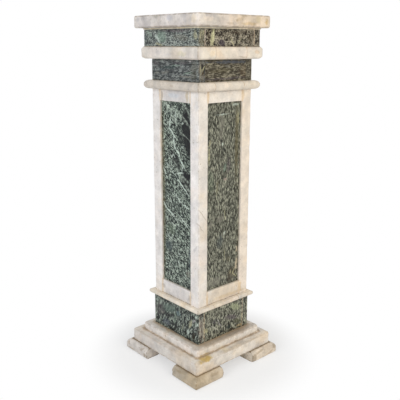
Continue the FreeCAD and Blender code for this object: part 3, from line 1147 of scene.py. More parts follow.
FOOT_MARBLE = WhiteMarble(
    "foot_marble",
    body=screen(214, 204, 188),
    ochre=screen(190, 166, 128),
    blush=screen(214, 190, 170),
    mottling=1.0,
    speck_share=0.9,
    speck_scale=110.0,
    arris_dirt=0.95,
    crevice_dirt=0.95,
    faces=(
        Face(
            Side.LEFT,
            182.0,
            (
                # A painted shadow of the step: the front left foot made darker.
                Mark(125, 17, 100, 60, 0, screen(160, 148, 128), 0.8, 80.0),
                Mark(-125, 17, 90, 60, 0, screen(198, 195, 193), 0.6, 60.0),
                Mark(-78, 12, 8, 9, 0, EARTH, 0.6),
                Mark(-96, 26, 14, 4, 20, EARTH, 0.45),
                Mark(-150, 8, 20, 4, 0, EARTH, 0.5),
                Mark(-168, 24, 6, 8, 0, EARTH, 0.45),
                Mark(96, 28, 20, 4, 0, EARTH, 0.45),
                Mark(140, 6, 30, 3, 0, EARTH, 0.5),
            ),
        ),
        Face(
            Side.FRONT,
            182.0,
            (
                # A painted shadow of the step: the front left foot made darker.
                Mark(-125, 17, 100, 60, 0, screen(186, 166, 134), 0.6, 80.0),
                Mark(125, 17, 80, 50, 0, screen(222, 204, 180), 0.45, 60.0),
                Mark(76, 14, 6, 16, 0, EARTH, 0.5),
                Mark(104, 28, 24, 4, 4, EARTH, 0.5),
                Mark(150, 10, 16, 6, 10, EARTH, 0.4),
                Mark(172, 24, 8, 8, 0, EARTH, 0.5),
                Mark(-104, 26, 22, 5, 0, EARTH, 0.4),
            ),
        ),
    ),
)

GREEN_COURSES = {
    "panel": (
        GreenMarble(
            "green_panel_left",
            Side.LEFT,
            1.0,
            grain=350.0,
            contrast=3.8,
            faces=(LEFT_PANEL,),
        ),
        GreenMarble(
            "green_panel_front",
            Side.FRONT,
            2.0,
            dark=screen(46, 46, 38),
            ground=screen(100, 102, 90),
            pale=screen(132, 133, 118),
            vein=screen(172, 172, 152),
            slant=88.0,
            stretch=4.6,
            sway=0.006,
            grain=390.0,
            contrast=3.1,
            broad_share=0.25,
            vein_share=0.12,
            faces=(FRONT_PANEL,),
        ),
    ),
    "upper_frieze": (
        GreenMarble(
            "green_upper_frieze_left",
            Side.LEFT,
            3.0,
            dark=screen(52, 56, 56),
            ground=screen(119, 125, 119),
            pale=screen(144, 151, 143),
            vein=screen(176, 182, 172),
            slant=-8.0,
            stretch=1.8,
            grain=300.0,
            contrast=2.5,
            vein_share=0.25,
            faces=(LEFT_UPPER_FRIEZE, UPPER_FRIEZE_END),
        ),
        GreenMarble(
            "green_upper_frieze_front",
            Side.FRONT,
            4.0,
            dark=screen(26, 22, 18),
            ground=screen(80, 73, 61),
            pale=screen(132, 125, 107),
            vein=screen(190, 183, 162),
            slant=20.0,
            stretch=1.2,
            grain=320.0,
            contrast=3.2,
            vein_share=0.2,
            net_share=0.55,
            net_scale=135.0,
            faces=(FRONT_UPPER_FRIEZE,),
        ),
    ),
    "lower_frieze": (
        GreenMarble(
            "green_lower_frieze_left",
            Side.LEFT,
            5.0,
            dark=screen(54, 58, 58),
            ground=screen(99, 102, 100),
            pale=screen(117, 121, 118),
            vein=screen(146, 152, 146),
            slant=2.0,
            stretch=4.4,
            grain=300.0,
            contrast=2.6,
            vein_share=0.2,
            faces=(LEFT_LOWER_FRIEZE, LOWER_FRIEZE_END),
        ),
        GreenMarble(
            "green_lower_frieze_front",
            Side.FRONT,
            6.0,
            dark=screen(46, 40, 30),
            ground=screen(96, 91, 75),
            pale=screen(115, 111, 95),
            vein=screen(146, 140, 120),
            slant=0.0,
            stretch=4.4,
            grain=300.0,
            contrast=3.1,
            vein_share=0.15,
            faces=(FRONT_LOWER_FRIEZE,),
        ),
    ),
    "base_block": (
        GreenMarble(
            "green_base_block_left",
            Side.LEFT,
            7.0,
            dark=screen(28, 31, 31),
            ground=screen(70, 76, 70),
            pale=screen(108, 117, 108),
            vein=screen(172, 182, 168),
            slant=72.0,
            stretch=4.2,
            sway=0.008,
            grain=330.0,
            contrast=3.6,
            vein_share=0.3,
            faces=(LEFT_BLOCK, BLOCK_END),
        ),
        GreenMarble(
            "green_base_block_front",
            Side.FRONT,
            8.0,
            dark=screen(38, 38, 30),
            ground=screen(110, 111, 99),
            pale=screen(140, 142, 124),
            vein=screen(182, 182, 162),
            slant=86.0,
            stretch=3.8,
            sway=0.009,
            grain=350.0,
            contrast=3.4,
            vein_share=0.3,
            faces=(FRONT_BLOCK,),
        ),
    ),
}


# ---------------------------------------------------------------- stone working


def ends_of(edge: bmesh.types.BMEdge) -> Line:
    """The places of an edge's two ends."""
    return edge.verts[0].co, edge.verts[1].co


def lies_on(line: Line, axis: int, place: float) -> bool:
    """Whether both ends of a line have this place on the axis."""
    return all(abs(end[axis] - place) < NEAR for end in line)


def is_level(line: Line) -> bool:
    """Whether the two ends of a line are equally high."""
    return abs(line[0].z - line[1].z) < NEAR


def is_sharp(edge: bmesh.types.BMEdge) -> bool:
    """Whether two faces meet at the edge at more than a bullnose's facets do."""
    return len(edge.link_faces) == 2 and edge.calc_face_angle(0.0) > SHARP_ANGLE


def is_upright(edge: bmesh.types.BMEdge) -> bool:
    """Whether the edge runs straight up."""
    first, second = ends_of(edge)
    return (first.xy - second.xy).length < NEAR


def level_edges(faces: Sequence[Plane]) -> EdgeTest:
    """Make a test for the sharp level edges of some upright faces.

    Args:
        faces: each face's axis, and its place on that axis.

    Returns:
        The test.
    """

    def wanted(edge: bmesh.types.BMEdge) -> bool:
        """Whether the edge is sharp, level and on one of the faces."""
        line = ends_of(edge)
        return is_sharp(edge) and is_level(line) and any(lies_on(line, *face) for face in faces)

    return wanted


def upright(x: float, y: float, bottom: float, top: float) -> Line:
    """A line straight up."""
    return Vector((x, y, bottom)), Vector((x, y, top))


def loop(corners: Sequence[Vector]) -> list[Line]:
    """The lines from each corner to the next, and from the last to the first."""
    return list(zip(corners, [*corners[1:], corners[0]]))


def square_lines(reach: float, level: float) -> list[Line]:
    """The four sides of a level square about the column's axis."""
    signs = ((-1, -1), (1, -1), (1, 1), (-1, 1))
    return loop([Vector((x * reach, y * reach, level)) for x, y in signs])


def select_only(piece: bpy.types.Object) -> None:
    """Make one object the only selected and active one.

    Args:
        piece: that object.
    """
    bpy.ops.object.select_all(action="DESELECT")
    piece.select_set(True)
    bpy.context.view_layer.objects.active = piece


def rough_block(name: str, low: Vector, high: Vector) -> bpy.types.Object:
    """Set a plain block between two corners, with its place in its mesh.

    Args:
        name: the block's name.
        low: its lowest corner.
        high: its highest corner.

    Returns:
        The block.
    """
    bpy.ops.object.select_all(action="DESELECT")
    bpy.ops.mesh.primitive_cube_add(size=1.0, location=(low + high) / 2)
    piece = bpy.context.active_object
    piece.name = name
    piece.data.name = name
    piece.scale = high - low
    bpy.ops.object.transform_apply(location=True, rotation=True, scale=True)
    return piece


def points_of(piece: bpy.types.Object) -> np.ndarray:
    """Read the places of a piece's points.

    Args:
        piece: the piece.

    Returns:
        The places, one row each.
    """
    flat = np.zeros(len(piece.data.vertices) * 3, np.float64)
    piece.data.vertices.foreach_get("co", flat)
    return flat.reshape(-1, 3)


def round_edges(
    piece: bpy.types.Object,
    wanted: EdgeTest,
    radius: float,
    facets: int,
) -> None:
    """Round the edges that the test accepts.

    Args:
        piece: the block being worked.
        wanted: says which edges to round.
        radius: how far the rounding reaches along each face.
        facets: how many flats make up the rounding.
    """
    select_only(piece)
    bpy.ops.object.mode_set(mode="EDIT")
    bpy.ops.mesh.select_mode(type="EDGE")
    bpy.ops.mesh.select_all(action="DESELECT")
    mesh = bmesh.from_edit_mesh(piece.data)
    for edge in mesh.edges:
        if wanted(edge):
            edge.select_set(True)
    bmesh.update_edit_mesh(piece.data)
    bpy.ops.mesh.bevel(
        offset_type="OFFSET",
        offset=radius,
        segments=facets,
        profile=0.5,
        affect="EDGES",
        clamp_overlap=False,
        miter_outer="SHARP",
        miter_inner="SHARP",
    )
    bpy.ops.object.mode_set(mode="OBJECT")


def sharp_lines(piece: bpy.types.Object) -> list[Line]:
    """Find the sharp edges of a block.

    Args:
        piece: the block.

    Returns:
        The edges, as pairs of ends.
    """
    mesh = bmesh.new()
    mesh.from_mesh(piece.data)
    sharp = [ends_of(edge) for edge in mesh.edges if is_sharp(edge)]
    lines = [(first.copy(), second.copy()) for first, second in sharp]
    mesh.free()
    return lines


def course(piece: bpy.types.Object, pitch: float, axes: Sequence[int] = (X, Y, Z)) -> None:
    """Cut the faces into even cells, so that wear has points to move.

    Args:
        piece: the block being worked.
        pitch: the size of a cell.
        axes: the directions that are cut up.
    """
    places = points_of(piece)
    low, high = places.min(0), places.max(0)
    select_only(piece)
    bpy.ops.object.mode_set(mode="EDIT")
    for axis in axes:
        count = max(1, round((high[axis] - low[axis]) / pitch))
        normal = [0.0, 0.0, 0.0]
        normal[axis] = 1.0
        for cut in range(1, count):
            middle = (low + high) / 2
            middle[axis] = low[axis] + (high[axis] - low[axis]) * cut / count
            bpy.ops.mesh.select_all(action="SELECT")
            bpy.ops.mesh.bisect(plane_co=tuple(middle), plane_no=tuple(normal))
    bpy.ops.object.mode_set(mode="OBJECT")


def nearness(places: np.ndarray, lines: Sequence[Line], reach: float) -> np.ndarray:
    """Measure how near each place is to the nearest line.

    Args:
        places: the places, one row each.
        lines: the lines.
        reach: how far from a line the number falls to 0.

    Returns:
        One number for each place, 1 on a line.
    """
    nearest = np.full(len(places), np.inf)
    for start, end in lines:
        base = np.array(start)
        run = np.array(end) - base
        length = float(run @ run)
        share = np.clip((places - base) @ run / max(length, 1e-12), 0.0, 1.0)
        gap = np.linalg.norm(places - base - share[:, None] * run, axis=1)
        nearest = np.minimum(nearest, gap)
    return np.clip(1.0 - nearest / reach, 0.0, 1.0)


def keep_number(piece: bpy.types.Object, name: str, values: np.ndarray) -> None:
    """Keep one number on each point of the piece."""
    layer = piece.data.attributes.get(name) or piece.data.attributes.new(name, "FLOAT", "POINT")
    layer.data.foreach_set("value", np.asarray(values, np.float32))


def cut_away(piece: bpy.types.Object, cutter: bpy.types.Object) -> None:
    """Cut one solid out of another, and clear the cutter away.

    Args:
        piece: the stone that is cut.
        cutter: the solid that is taken out of it.
    """
    select_only(piece)
    bpy.ops.object.modifier_add(type="BOOLEAN")
    modifier = piece.modifiers[-1]
    modifier.operation = "DIFFERENCE"
    modifier.solver = "EXACT"
    modifier.object = cutter
    bpy.ops.object.modifier_apply(modifier=modifier.name)
    bpy.data.objects.remove(cutter)


def turned_copy(piece: bpy.types.Object, name: str, degrees: float) -> bpy.types.Object:
    """Copy a finished shape with its own mesh, turned about the column's axis.

    Args:
        piece: the finished shape.
        name: the copy's name.
        degrees: the turn, anticlockwise from above.

    Returns:
        The copy.
    """
    select_only(piece)
    bpy.ops.object.duplicate(linked=False)
    copy = bpy.context.active_object
    copy.name = name
    copy.data.name = name
    copy.data.transform(Matrix.Rotation(math.radians(degrees), 4, "Z"))
    copy.data.update()
    return copy


def set_round(
    first: bpy.types.Object,
    places: type[Side] | type[Corner],
    name: str,
) -> dict[Side | Corner, bpy.types.Object]:
    """Copy a piece from the front, or the front left, to the other sides or corners.

    Args:
        first: the finished piece.
        places: the sides or the corners.
        name: the pieces' name, with %s for the word of the side or corner.

    Returns:
        All four pieces by side or corner.
    """
    start, *others = places
    pieces = {start: first}
    for place in others:
        pieces[place] = turned_copy(first, name % place.word, place.value)
    return pieces


def cloud_texture(name: str, scale: float, contrast: float, bright: float) -> bpy.types.Texture:
    """Make a cloudy pattern that drives wear.

    Args:
        name: the pattern's name.
        scale: the size of its clouds, in metres.
        contrast: how hard their edges are.
        bright: how much of it is light.

    Returns:
        The pattern.
    """
    texture = bpy.data.textures.new(name, "CLOUDS")
    texture.noise_scale = scale
    texture.noise_depth = 2
    texture.contrast = contrast
    texture.intensity = bright
    texture.use_clamp = True
    return texture


def displace(
    piece: bpy.types.Object,
    texture: bpy.types.Texture,
    depth: float,
    group: str = "",
) -> None:
    """Sink the surface by a texture.

    Args:
        piece: the stone.
        texture: drives the depth, from 0 to 1.
        depth: how far the surface sinks at most.
        group: the group of points that it is kept to.
    """
    select_only(piece)
    bpy.ops.object.modifier_add(type="DISPLACE")
    modifier = piece.modifiers[-1]
    modifier.texture = texture
    modifier.texture_coords = "LOCAL"
    modifier.vertex_group = group
    modifier.mid_level = 0.0
    modifier.strength = -depth
    bpy.ops.object.modifier_apply(modifier=modifier.name)


def dress_node(name: str, material: bpy.types.Material) -> None:
    """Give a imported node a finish.

    Args:
        name: the node's name.
        material: the finish.
    """
    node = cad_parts[name]
    node.data.materials.clear()
    node.data.materials.append(material)


@dataclass
class Mason:
    """Wears, marks and dresses the stones."""

    rubbed: bpy.types.Texture
    chipped: bpy.types.Texture
    laid: int = 0

    def wear(self, piece: bpy.types.Object, rub: float, chip: float) -> None:
        """Rub and chip the arrises, always inwards.

        Args:
            piece: a stone whose arris group is marked.
            rub: the depth of the even wear.
            chip: the depth of the chips.
        """
        for texture, depth in ((self.rubbed, rub), (self.chipped, chip)):
            displace(piece, texture, depth, "arris")

    def mark_arrises(self, piece: bpy.types.Object, lines: Sequence[Line], reach: float) -> None:
        """Give each point its nearness to the arrises, as a number and as a group.

        Args:
            piece: the stone.
            lines: its arrises, as they were before they were softened.
            reach: how far from them wear is felt.
        """
        weights = nearness(points_of(piece), lines, reach)
        keep_number(piece, "arris", weights)
        group = piece.vertex_groups.new(name="arris")
        steps = np.rint(weights * WEAR_STEPS).astype(int)
        for step in range(1, WEAR_STEPS + 1):
            group.add(np.flatnonzero(steps == step).tolist(), step / WEAR_STEPS, "REPLACE")

    def lay(
        self,
        piece: bpy.types.Object,
        node: str | None,
        material: bpy.types.Material,
        slot: str,
        grime: Sequence[Line] = (),
        grime_reach: float = 8 * MM,
        stain: Sequence[Line] = (),
        stain_reach: float = 8 * MM,
    ) -> None:
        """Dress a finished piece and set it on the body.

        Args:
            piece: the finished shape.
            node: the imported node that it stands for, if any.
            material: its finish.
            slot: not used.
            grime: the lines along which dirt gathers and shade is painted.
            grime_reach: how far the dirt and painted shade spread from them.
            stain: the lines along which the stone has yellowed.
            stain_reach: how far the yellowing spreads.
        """
        self.laid += 1
        places = points_of(piece)
        # Nearness to the crevice lines, where the finish lays dirt and painted shade.
        keep_number(piece, "grime", nearness(places, grime, grime_reach))
        keep_number(piece, "stain", nearness(places, stain, stain_reach))
        keep_number(piece, "stone", np.full(len(places), float(self.laid)))
        select_only(piece)
        bpy.ops.object.shade_smooth_by_angle(angle=SMOOTH_ANGLE)
        piece.data.materials.clear()
        piece.data.materials.append(material)
        if node:
            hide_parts(node)
        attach(piece, BODY)
        LOG.info("%s: %d faces", piece.name, len(piece.data.polygons))


# ---------------------------------------------------------------- sub-assemblies


@dataclass
class Slab:
    """A square slab with rounded corners and arrises: the top, its bed or a step."""

    node: str
    slot: str
    corner_radius: float
    top_radius: float
    bottom_radius: float
    rub: float
    chip: float
    wear_reach: float = 5 * MM
    pitch: float = 6 * MM
    corner_facets: int = 6
    arris_facets: int = 5
    bore_radius: float = 0.0
    bore_depth: float = 0.0
    bore_facets: int = 48

    def build(self, mason: Mason) -> bpy.types.Object:
        """Shape and wear the slab.

        Args:
            mason: does the wearing.

        Returns:
            The shaped slab.
        """
        low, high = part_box(self.node)
        piece = rough_block(self.node + "_stone", low, high)
        lines = sharp_lines(piece)
        round_edges(piece, is_upright, self.corner_radius, self.corner_facets)
        for level, radius in ((high.z, self.top_radius), (low.z, self.bottom_radius)):
            round_edges(
                piece,
                lambda edge, level=level: is_sharp(edge) and lies_on(ends_of(edge), Z, level),
                radius,
                self.arris_facets,
            )
        if self.bore_depth:
            cut_away(piece, self.bore(low.z))
        course(piece, self.pitch)
        mason.mark_arrises(piece, lines, self.top_radius + self.wear_reach)
        mason.wear(piece, self.rub, self.chip)
        return piece

    def bore(self, level: float) -> bpy.types.Object:
        """Make the round cutter for the recess in the underside.

        Args:
            level: the height of the underside.

        Returns:
            The cutter, which reaches as far below the slab as into it.
        """
        bpy.ops.object.select_all(action="DESELECT")
        bpy.ops.mesh.primitive_cylinder_add(
            vertices=self.bore_facets,
            radius=self.bore_radius,
            depth=2 * self.bore_depth,
            location=(0.0, 0.0, level),
        )
        return bpy.context.active_object


@dataclass
class Ring:
    """A square ring of four plates or bars, butted at their ends.

    The left and right ones run through. A nose radius above 0 rounds the outer faces into
    a bullnose, which returns round the ends of the long ones.
    """

    course_name: str
    slot: str
    nose_radius: float = 0.0
    nose_facets: int = 8
    arris_radius: float = 0.8 * MM
    arris_facets: int = 3
    wear_reach: float = 4 * MM
    grime_reach: float = 5 * MM
    rub: float = 0.5 * MM
    chip: float = 1.2 * MM
    pitch: float = 6 * MM
    joint_width: float = 1.6 * MM
    joint_proud: float = 0.12 * MM
    joint_radius: float = 0.6 * MM
    joint_facets: int = 2
    joint_pitch: float = 3 * MM

    def build(self, mason: Mason) -> dict[Side, bpy.types.Object]:
        """Shape one long and one short stone and copy each to its opposite side.

        Args:
            mason: does the wearing.

        Returns:
            The four stones by side.
        """
        pieces = {}
        for side, opposite in ((Side.LEFT, Side.RIGHT), (Side.FRONT, Side.BACK)):
            low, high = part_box(self.node(side))
            first = self.bar(self.node(side) + "_stone", low, high, side)
            joints = (high.x,) if side.runs_through else (low.x, high.x)
            shown = [line for line in sharp_lines(first) if not self.in_joint(line, joints)]
            round_edges(
                first,
                lambda edge: is_sharp(edge) and not self.in_joint(ends_of(edge), joints),
                self.arris_radius,
                self.arris_facets,
            )
            course(first, self.pitch)
            mason.mark_arrises(first, shown, self.arris_radius + self.wear_reach)
            second = turned_copy(first, self.node(opposite) + "_stone", 180)
            pieces[side], pieces[opposite] = first, second
        for piece in pieces.values():
            mason.wear(piece, self.rub, self.chip)
        return pieces

    def node(self, side: Side) -> str:
        """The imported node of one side's stone."""
        return "%s_%s" % (self.course_name, side.word)

    @staticmethod
    def in_joint(line: Line, joints: Sequence[float]) -> bool:
        """Whether a line lies in a butt joint, given where on X the joints are."""
        return any(lies_on(line, X, joint) for joint in joints)

    def bar(self, name: str, low: Vector, high: Vector, side: Side) -> bpy.types.Object:
        """Shape a block with its outer face, and a long one's ends, rounded to a nose.

        Args:
            name: the piece's name.
            low: its lowest corner.
            high: its highest corner.
            side: the side that it stands on, left or front.

        Returns:
            The shaped block.
        """
        piece = rough_block(name, low, high)
        if not self.nose_radius:
            return piece
        along = side.level_axis
        across = 1 - along
        faces = [(across, low[across])]
        if side.runs_through:
            faces += [(along, low[along]), (along, high[along])]
        round_edges(piece, level_edges(faces), self.nose_radius, self.nose_facets)
        return piece

    def joints(self) -> list[bpy.types.Object]:
        """Fill the four butt joints, all but flush with the faces.

        Returns:
            The strips of joint filler.
        """
        low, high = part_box(self.node(Side.FRONT))
        proud = Vector((0.0, self.joint_proud, self.joint_proud))
        half = Vector((self.joint_width / 2, 0.0, 0.0))
        strips = []
        for number, x in enumerate((low.x, high.x)):
            near = Vector((x, low.y, low.z)) - half - proud
            far = Vector((x, high.y, high.z)) + half + proud
            name = "%s_joint_%d" % (self.course_name, number)
            strip = self.strip(name, near, far)
            strips += [strip, turned_copy(strip, name + "_behind", 180)]
        return strips

    def strip(self, name: str, low: Vector, high: Vector) -> bpy.types.Object:
        """Shape one joint's filler with the bars' own profile.

        Args:
            name: the strip's name.
            low: its lowest corner.
            high: its highest corner.

        Returns:
            The strip.
        """
        piece = rough_block(name, low, high)
        radius, facets = self.joint_radius, self.joint_facets
        if self.nose_radius:
            radius, facets = self.nose_radius + self.joint_proud, self.nose_facets
        round_edges(piece, level_edges([(Y, low.y)]), radius, facets)
        course(piece, self.joint_pitch, (Z,))
        return piece


@dataclass
class PanelledShaft:
    """Four corner posts with rails between them, which frame four sunk panels."""

    slot: str = "white_marble"
    levels: tuple[str, str] = ("top_rail", "bottom_rail")
    arris_radius: float = 1.5 * MM
    arris_facets: int = 3
    reveal_radius: float = 0.5 * MM
    reveal_facets: int = 2
    wear_reach: float = 4 * MM
    grime_reach: float = 4 * MM
    post_stain_reach: float = 7 * MM
    rail_stain_reach: float = 12 * MM
    rub: float = 0.5 * MM
    chip: float = 1.3 * MM
    pitch: float = 6 * MM
    rail_radius: float = 0.8 * MM
    rail_pitch: float = 4 * MM
    rail_chip_share: float = 0.6
    cut_beyond: float = 5 * MM
    joint_width: float = 1.4 * MM
    joint_proud: float = 0.1 * MM
    joint_depth: float = 10 * MM
    joint_radius: float = 0.3 * MM
    joint_facets: int = 2
    joint_pitch: float = 3 * MM

    def build_posts(self, mason: Mason) -> dict[Corner, bpy.types.Object]:
        """Shape one post, with its two stopped rebates, and copy it to each corner.

        Args:
            mason: does the wearing.

        Returns:
            The posts by corner.
        """
        low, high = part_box("post_front_left")
        first = rough_block("post_front_left_stone", low, high)
        side_low, side_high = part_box("panel_left")
        face_low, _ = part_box("panel_front")
        spare = Vector((self.cut_beyond, self.cut_beyond, 0.0))
        beyond = Vector((high.x, high.y, side_high.z)) + spare
        for number, near in enumerate((side_low, face_low)):
            cut_away(first, rough_block("rebate_%d" % number, near, beyond))
        ridge = [upright(low.x, low.y, low.z, high.z)]
        reveals = [upright(*foot, low.z, high.z) for foot in ((high.x, low.y), (low.x, high.y))]
        round_edges(first, self.runs_on(ridge), self.arris_radius, self.arris_facets)
        round_edges(first, self.runs_on(reveals), self.reveal_radius, self.reveal_facets)
        course(first, self.pitch)
        mason.mark_arrises(first, ridge, self.arris_radius + self.wear_reach)
        posts = set_round(first, Corner, "post_%s_stone")
        for piece in posts.values():
            mason.wear(piece, self.rub, self.chip)
        return posts

    @staticmethod
    def runs_on(lines: Sequence[Line]) -> EdgeTest:
        """Make a test for sharp edges that run along one of some upright lines.

        Args:
            lines: the upright lines.

        Returns:
            The test.
        """

        def wanted(edge: bmesh.types.BMEdge) -> bool:
            """Whether the edge is sharp and both its ends stand over one of the lines."""
            line = ends_of(edge)
            return is_sharp(edge) and any(
                lies_on(line, X, foot.x) and lies_on(line, Y, foot.y) for foot, _ in lines
            )

        return wanted

    def build_rails(self, mason: Mason, level_name: str) -> dict[Side, bpy.types.Object]:
        """Shape one rail, rebated behind, and copy it to each side.

        Args:
            mason: does the wearing.
            level_name: top_rail or bottom_rail.

        Returns:
            The rails by side.
        """
        low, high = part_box(level_name + "_front")
        first = rough_block(level_name + "_front_stone", low, high)
        panel_low, panel_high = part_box("panel_front")
        beyond = Vector((self.cut_beyond, 0.0, 0.0))
        near = Vector((low.x, panel_low.y, panel_low.z)) - beyond
        far = Vector((high.x, high.y + self.cut_beyond, panel_high.z)) + beyond
        cut_away(first, rough_block("rail_rebate", near, far))
        arrises = [
            (Vector((low.x, low.y, level)), Vector((high.x, low.y, level)))
            for level in (low.z, high.z)
        ]
        round_edges(first, level_edges([(Y, low.y)]), self.rail_radius, self.arris_facets)
        course(first, self.rail_pitch)
        mason.mark_arrises(first, arrises, self.wear_reach)
        rails = set_round(first, Side, level_name + "_%s_stone")
        for piece in rails.values():
            mason.wear(piece, self.rub, self.chip * self.rail_chip_share)
        return rails

    @staticmethod
    def around(lines: Sequence[Line]) -> list[Line]:
        """Repeat the front's lines on all four sides.

        Args:
            lines: the front's lines.

        Returns:
            The lines of the four sides.
        """
        turned = []
        for side in Side:
            turn = Matrix.Rotation(math.radians(side.value), 3, "Z")
            turned += [(turn @ start, turn @ end) for start, end in lines]
        return turned

    def joint_lines(self) -> list[Line]:
        """Find where rails meet posts.

        Returns:
            The lines on the four sides.
        """
        lines = []
        for level_name in self.levels:
            low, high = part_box(level_name + "_front")
            lines += [upright(x, low.y, low.z, high.z) for x in (low.x, high.x)]
        return self.around(lines)

    def recess_lines(self) -> list[Line]:
        """Find where the panels meet the posts and rails.

        Returns:
            The lines on the four sides.
        """
        _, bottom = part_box("bottom_rail_front")
        low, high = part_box("top_rail_front")
        panel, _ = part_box("panel_front")
        places = ((low.x, bottom.z), (high.x, bottom.z), (high.x, low.z), (low.x, low.z))
        return self.around(loop([Vector((x, panel.y, z)) for x, z in places]))

    def joints(self) -> list[bpy.types.Object]:
        """Fill the joints between rails and posts.

        Returns:
            The strips of joint filler.
        """
        strips = []
        for level_name in self.levels:
            low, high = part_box(level_name + "_front")
            for number, x in enumerate((low.x, high.x)):
                near = Vector((x - self.joint_width / 2, low.y - self.joint_proud, low.z))
                far = Vector((x + self.joint_width / 2, low.y + self.joint_depth, high.z))
                name = "%s_joint_%d" % (level_name, number)
                strip = rough_block(name, near, far)
                round_edges(strip, is_sharp, self.joint_radius, self.joint_facets)
                course(strip, self.joint_pitch, (Z,))
                strips += set_round(strip, Side, name + "_%s").values()
        return strips


@dataclass
class Feet:
    """Four corner feet with a quarter-round nose on their two outer sides."""

    slot: str = "foot_marble"
    nose_radius: float = 17 * MM
    nose_facets: int = 8
    toe_radius: float = 6 * MM
    toe_facets: int = 3
    corner_radius: float = 3 * MM
    corner_facets: int = 3
    wear_reach: float = 8 * MM
    rub: float = 0.9 * MM
    chip: float = 2.0 * MM
    pitch: float = 5 * MM

    def build(self, mason: Mason) -> dict[Corner, bpy.types.Object]:
        """Shape the front left foot and copy it to each corner.

        Args:
            mason: does the wearing.

        Returns:
            The feet by corner.
        """
        low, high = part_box("foot_front_left")
        first = rough_block("foot_front_left_stone", low, high)
        lines = sharp_lines(first)
        outer = level_edges([(X, low.x), (Y, low.y)])
        for level, radius, facets in (
            (high.z, self.nose_radius, self.nose_facets),
            (low.z, self.toe_radius, self.toe_facets),
        ):
            round_edges(
                first,
                lambda edge, level=level: outer(edge) and lies_on(ends_of(edge), Z, level),
                radius,
                facets,
            )
        round_edges(
            first,
            lambda edge: self.is_ridge(edge, low, high),
            self.corner_radius,
            self.corner_facets,
        )
        course(first, self.pitch)
        ridge = [upright(low.x, low.y, low.z, high.z)]
        ends = [line for line in lines if self.is_end(line, high) or self.is_toe(line, low)]
        mason.mark_arrises(first, ridge + ends, self.wear_reach)
        feet = set_round(first, Corner, "foot_%s_stone")
        for piece in feet.values():
            mason.wear(piece, self.rub, self.chip)
        return feet

    @staticmethod
    def is_ridge(edge: bmesh.types.BMEdge, low: Vector, high: Vector) -> bool:
        """Tell whether a sharp edge runs down the foot's outer corner.

        Args:
            edge: the edge.
            low: the foot's lowest corner, at its outer side.
            high: its highest corner.

        Returns:
            Whether it does.
        """
        line = ends_of(edge)
        mitred = all(abs((end.x - low.x) - (end.y - low.y)) < 10 * NEAR for end in line)
        outer = all(end.x < high.x - MM for end in line)
        return is_sharp(edge) and mitred and outer and not is_level(line)

    @staticmethod
    def is_toe(line: Line, low: Vector) -> bool:
        """Whether a line runs along the foot's outer lower edges."""
        outer = lies_on(line, X, low.x) or lies_on(line, Y, low.y)
        return outer and lies_on(line, Z, low.z)

    @staticmethod
    def is_end(line: Line, high: Vector) -> bool:
        """Whether a line bounds one of the foot's inner ends."""
        return lies_on(line, X, high.x) or lies_on(line, Y, high.y)


@dataclass
class MortarBed:
    """The thin bed between two courses, squeezed out a little all round."""

    name: str
    half_width: float
    level: float
    squeezed: bpy.types.Texture
    proud: float = 1.0 * MM
    height: float = 2.0 * MM
    round_share: float = 0.45
    facets: int = 2
    pitch: float = 5 * MM

    def build(self) -> bpy.types.Object:
        """Shape the bed with an uneven edge.

        Returns:
            The bed.
        """
        reach = self.half_width + self.proud
        low = Vector((-reach, -reach, self.level - self.height / 2))
        high = Vector((reach, reach, self.level + self.height / 2))
        piece = rough_block(self.name, low, high)
        round_edges(piece, is_sharp, self.height * self.round_share, self.facets)
        course(piece, self.pitch, (X, Y))
        displace(piece, self.squeezed, 2.0 * self.proud)
        return piece


# ---------------------------------------------------------------- the stand


@dataclass(frozen=True)
class Palette:
    """The stand's finishes, made once."""

    HIDDEN_SEED = 0.37

    cap: bpy.types.Material
    bed: bpy.types.Material
    bars: bpy.types.Material
    shaft: bpy.types.Material
    steps: bpy.types.Material
    feet: bpy.types.Material
    grout: bpy.types.Material
    putty: bpy.types.Material
    mortar: bpy.types.Material
    steel: bpy.types.Material
    greens: dict[str, dict[Side, bpy.types.Material]]

    @classmethod
    def mix_up(cls) -> "Palette":
        """Make every finish.

        Returns:
            The finishes.
        """
        return cls(
            cap=CAP_MARBLE.make(),
            bed=BED_MARBLE.make(),
            bars=BAR_MARBLE.make(),
            shaft=SHAFT_MARBLE.make(),
            steps=STEP_MARBLE.make(),
            feet=FOOT_MARBLE.make(),
            grout=Mortar("joint_grout", screen(216, 200, 178), screen(190, 164, 134)).make(),
            putty=Mortar("joint_putty", screen(112, 108, 92), screen(70, 66, 54)).make(),
            mortar=Mortar("lime_mortar").make(),
            steel=MillSteel("mill_steel").make(),
            greens={name: cls.greens_of(name) for name in GREEN_COURSES},
        )

    @classmethod
    def greens_of(cls, course_name: str) -> dict[Side, bpy.types.Material]:
        """Make one green course's finishes, where each hidden side repeats a shown one.

        Args:
            course_name: the course, as GREEN_COURSES names it.

        Returns:
            The four finishes by side.
        """
        left, front = GREEN_COURSES[course_name]
        finishes = {}
        for seen, hidden in ((left, Side.BACK), (front, Side.RIGHT)):
            finishes[seen.side] = seen.make()
            other = replace(
                seen,
                name=seen.name.replace(seen.side.word, hidden.word),
                side=hidden,
                seed=seen.seed + cls.HIDDEN_SEED,
                faces=tuple(face.on(hidden) for face in seen.faces),
            )
            finishes[hidden] = other.make()
        return finishes


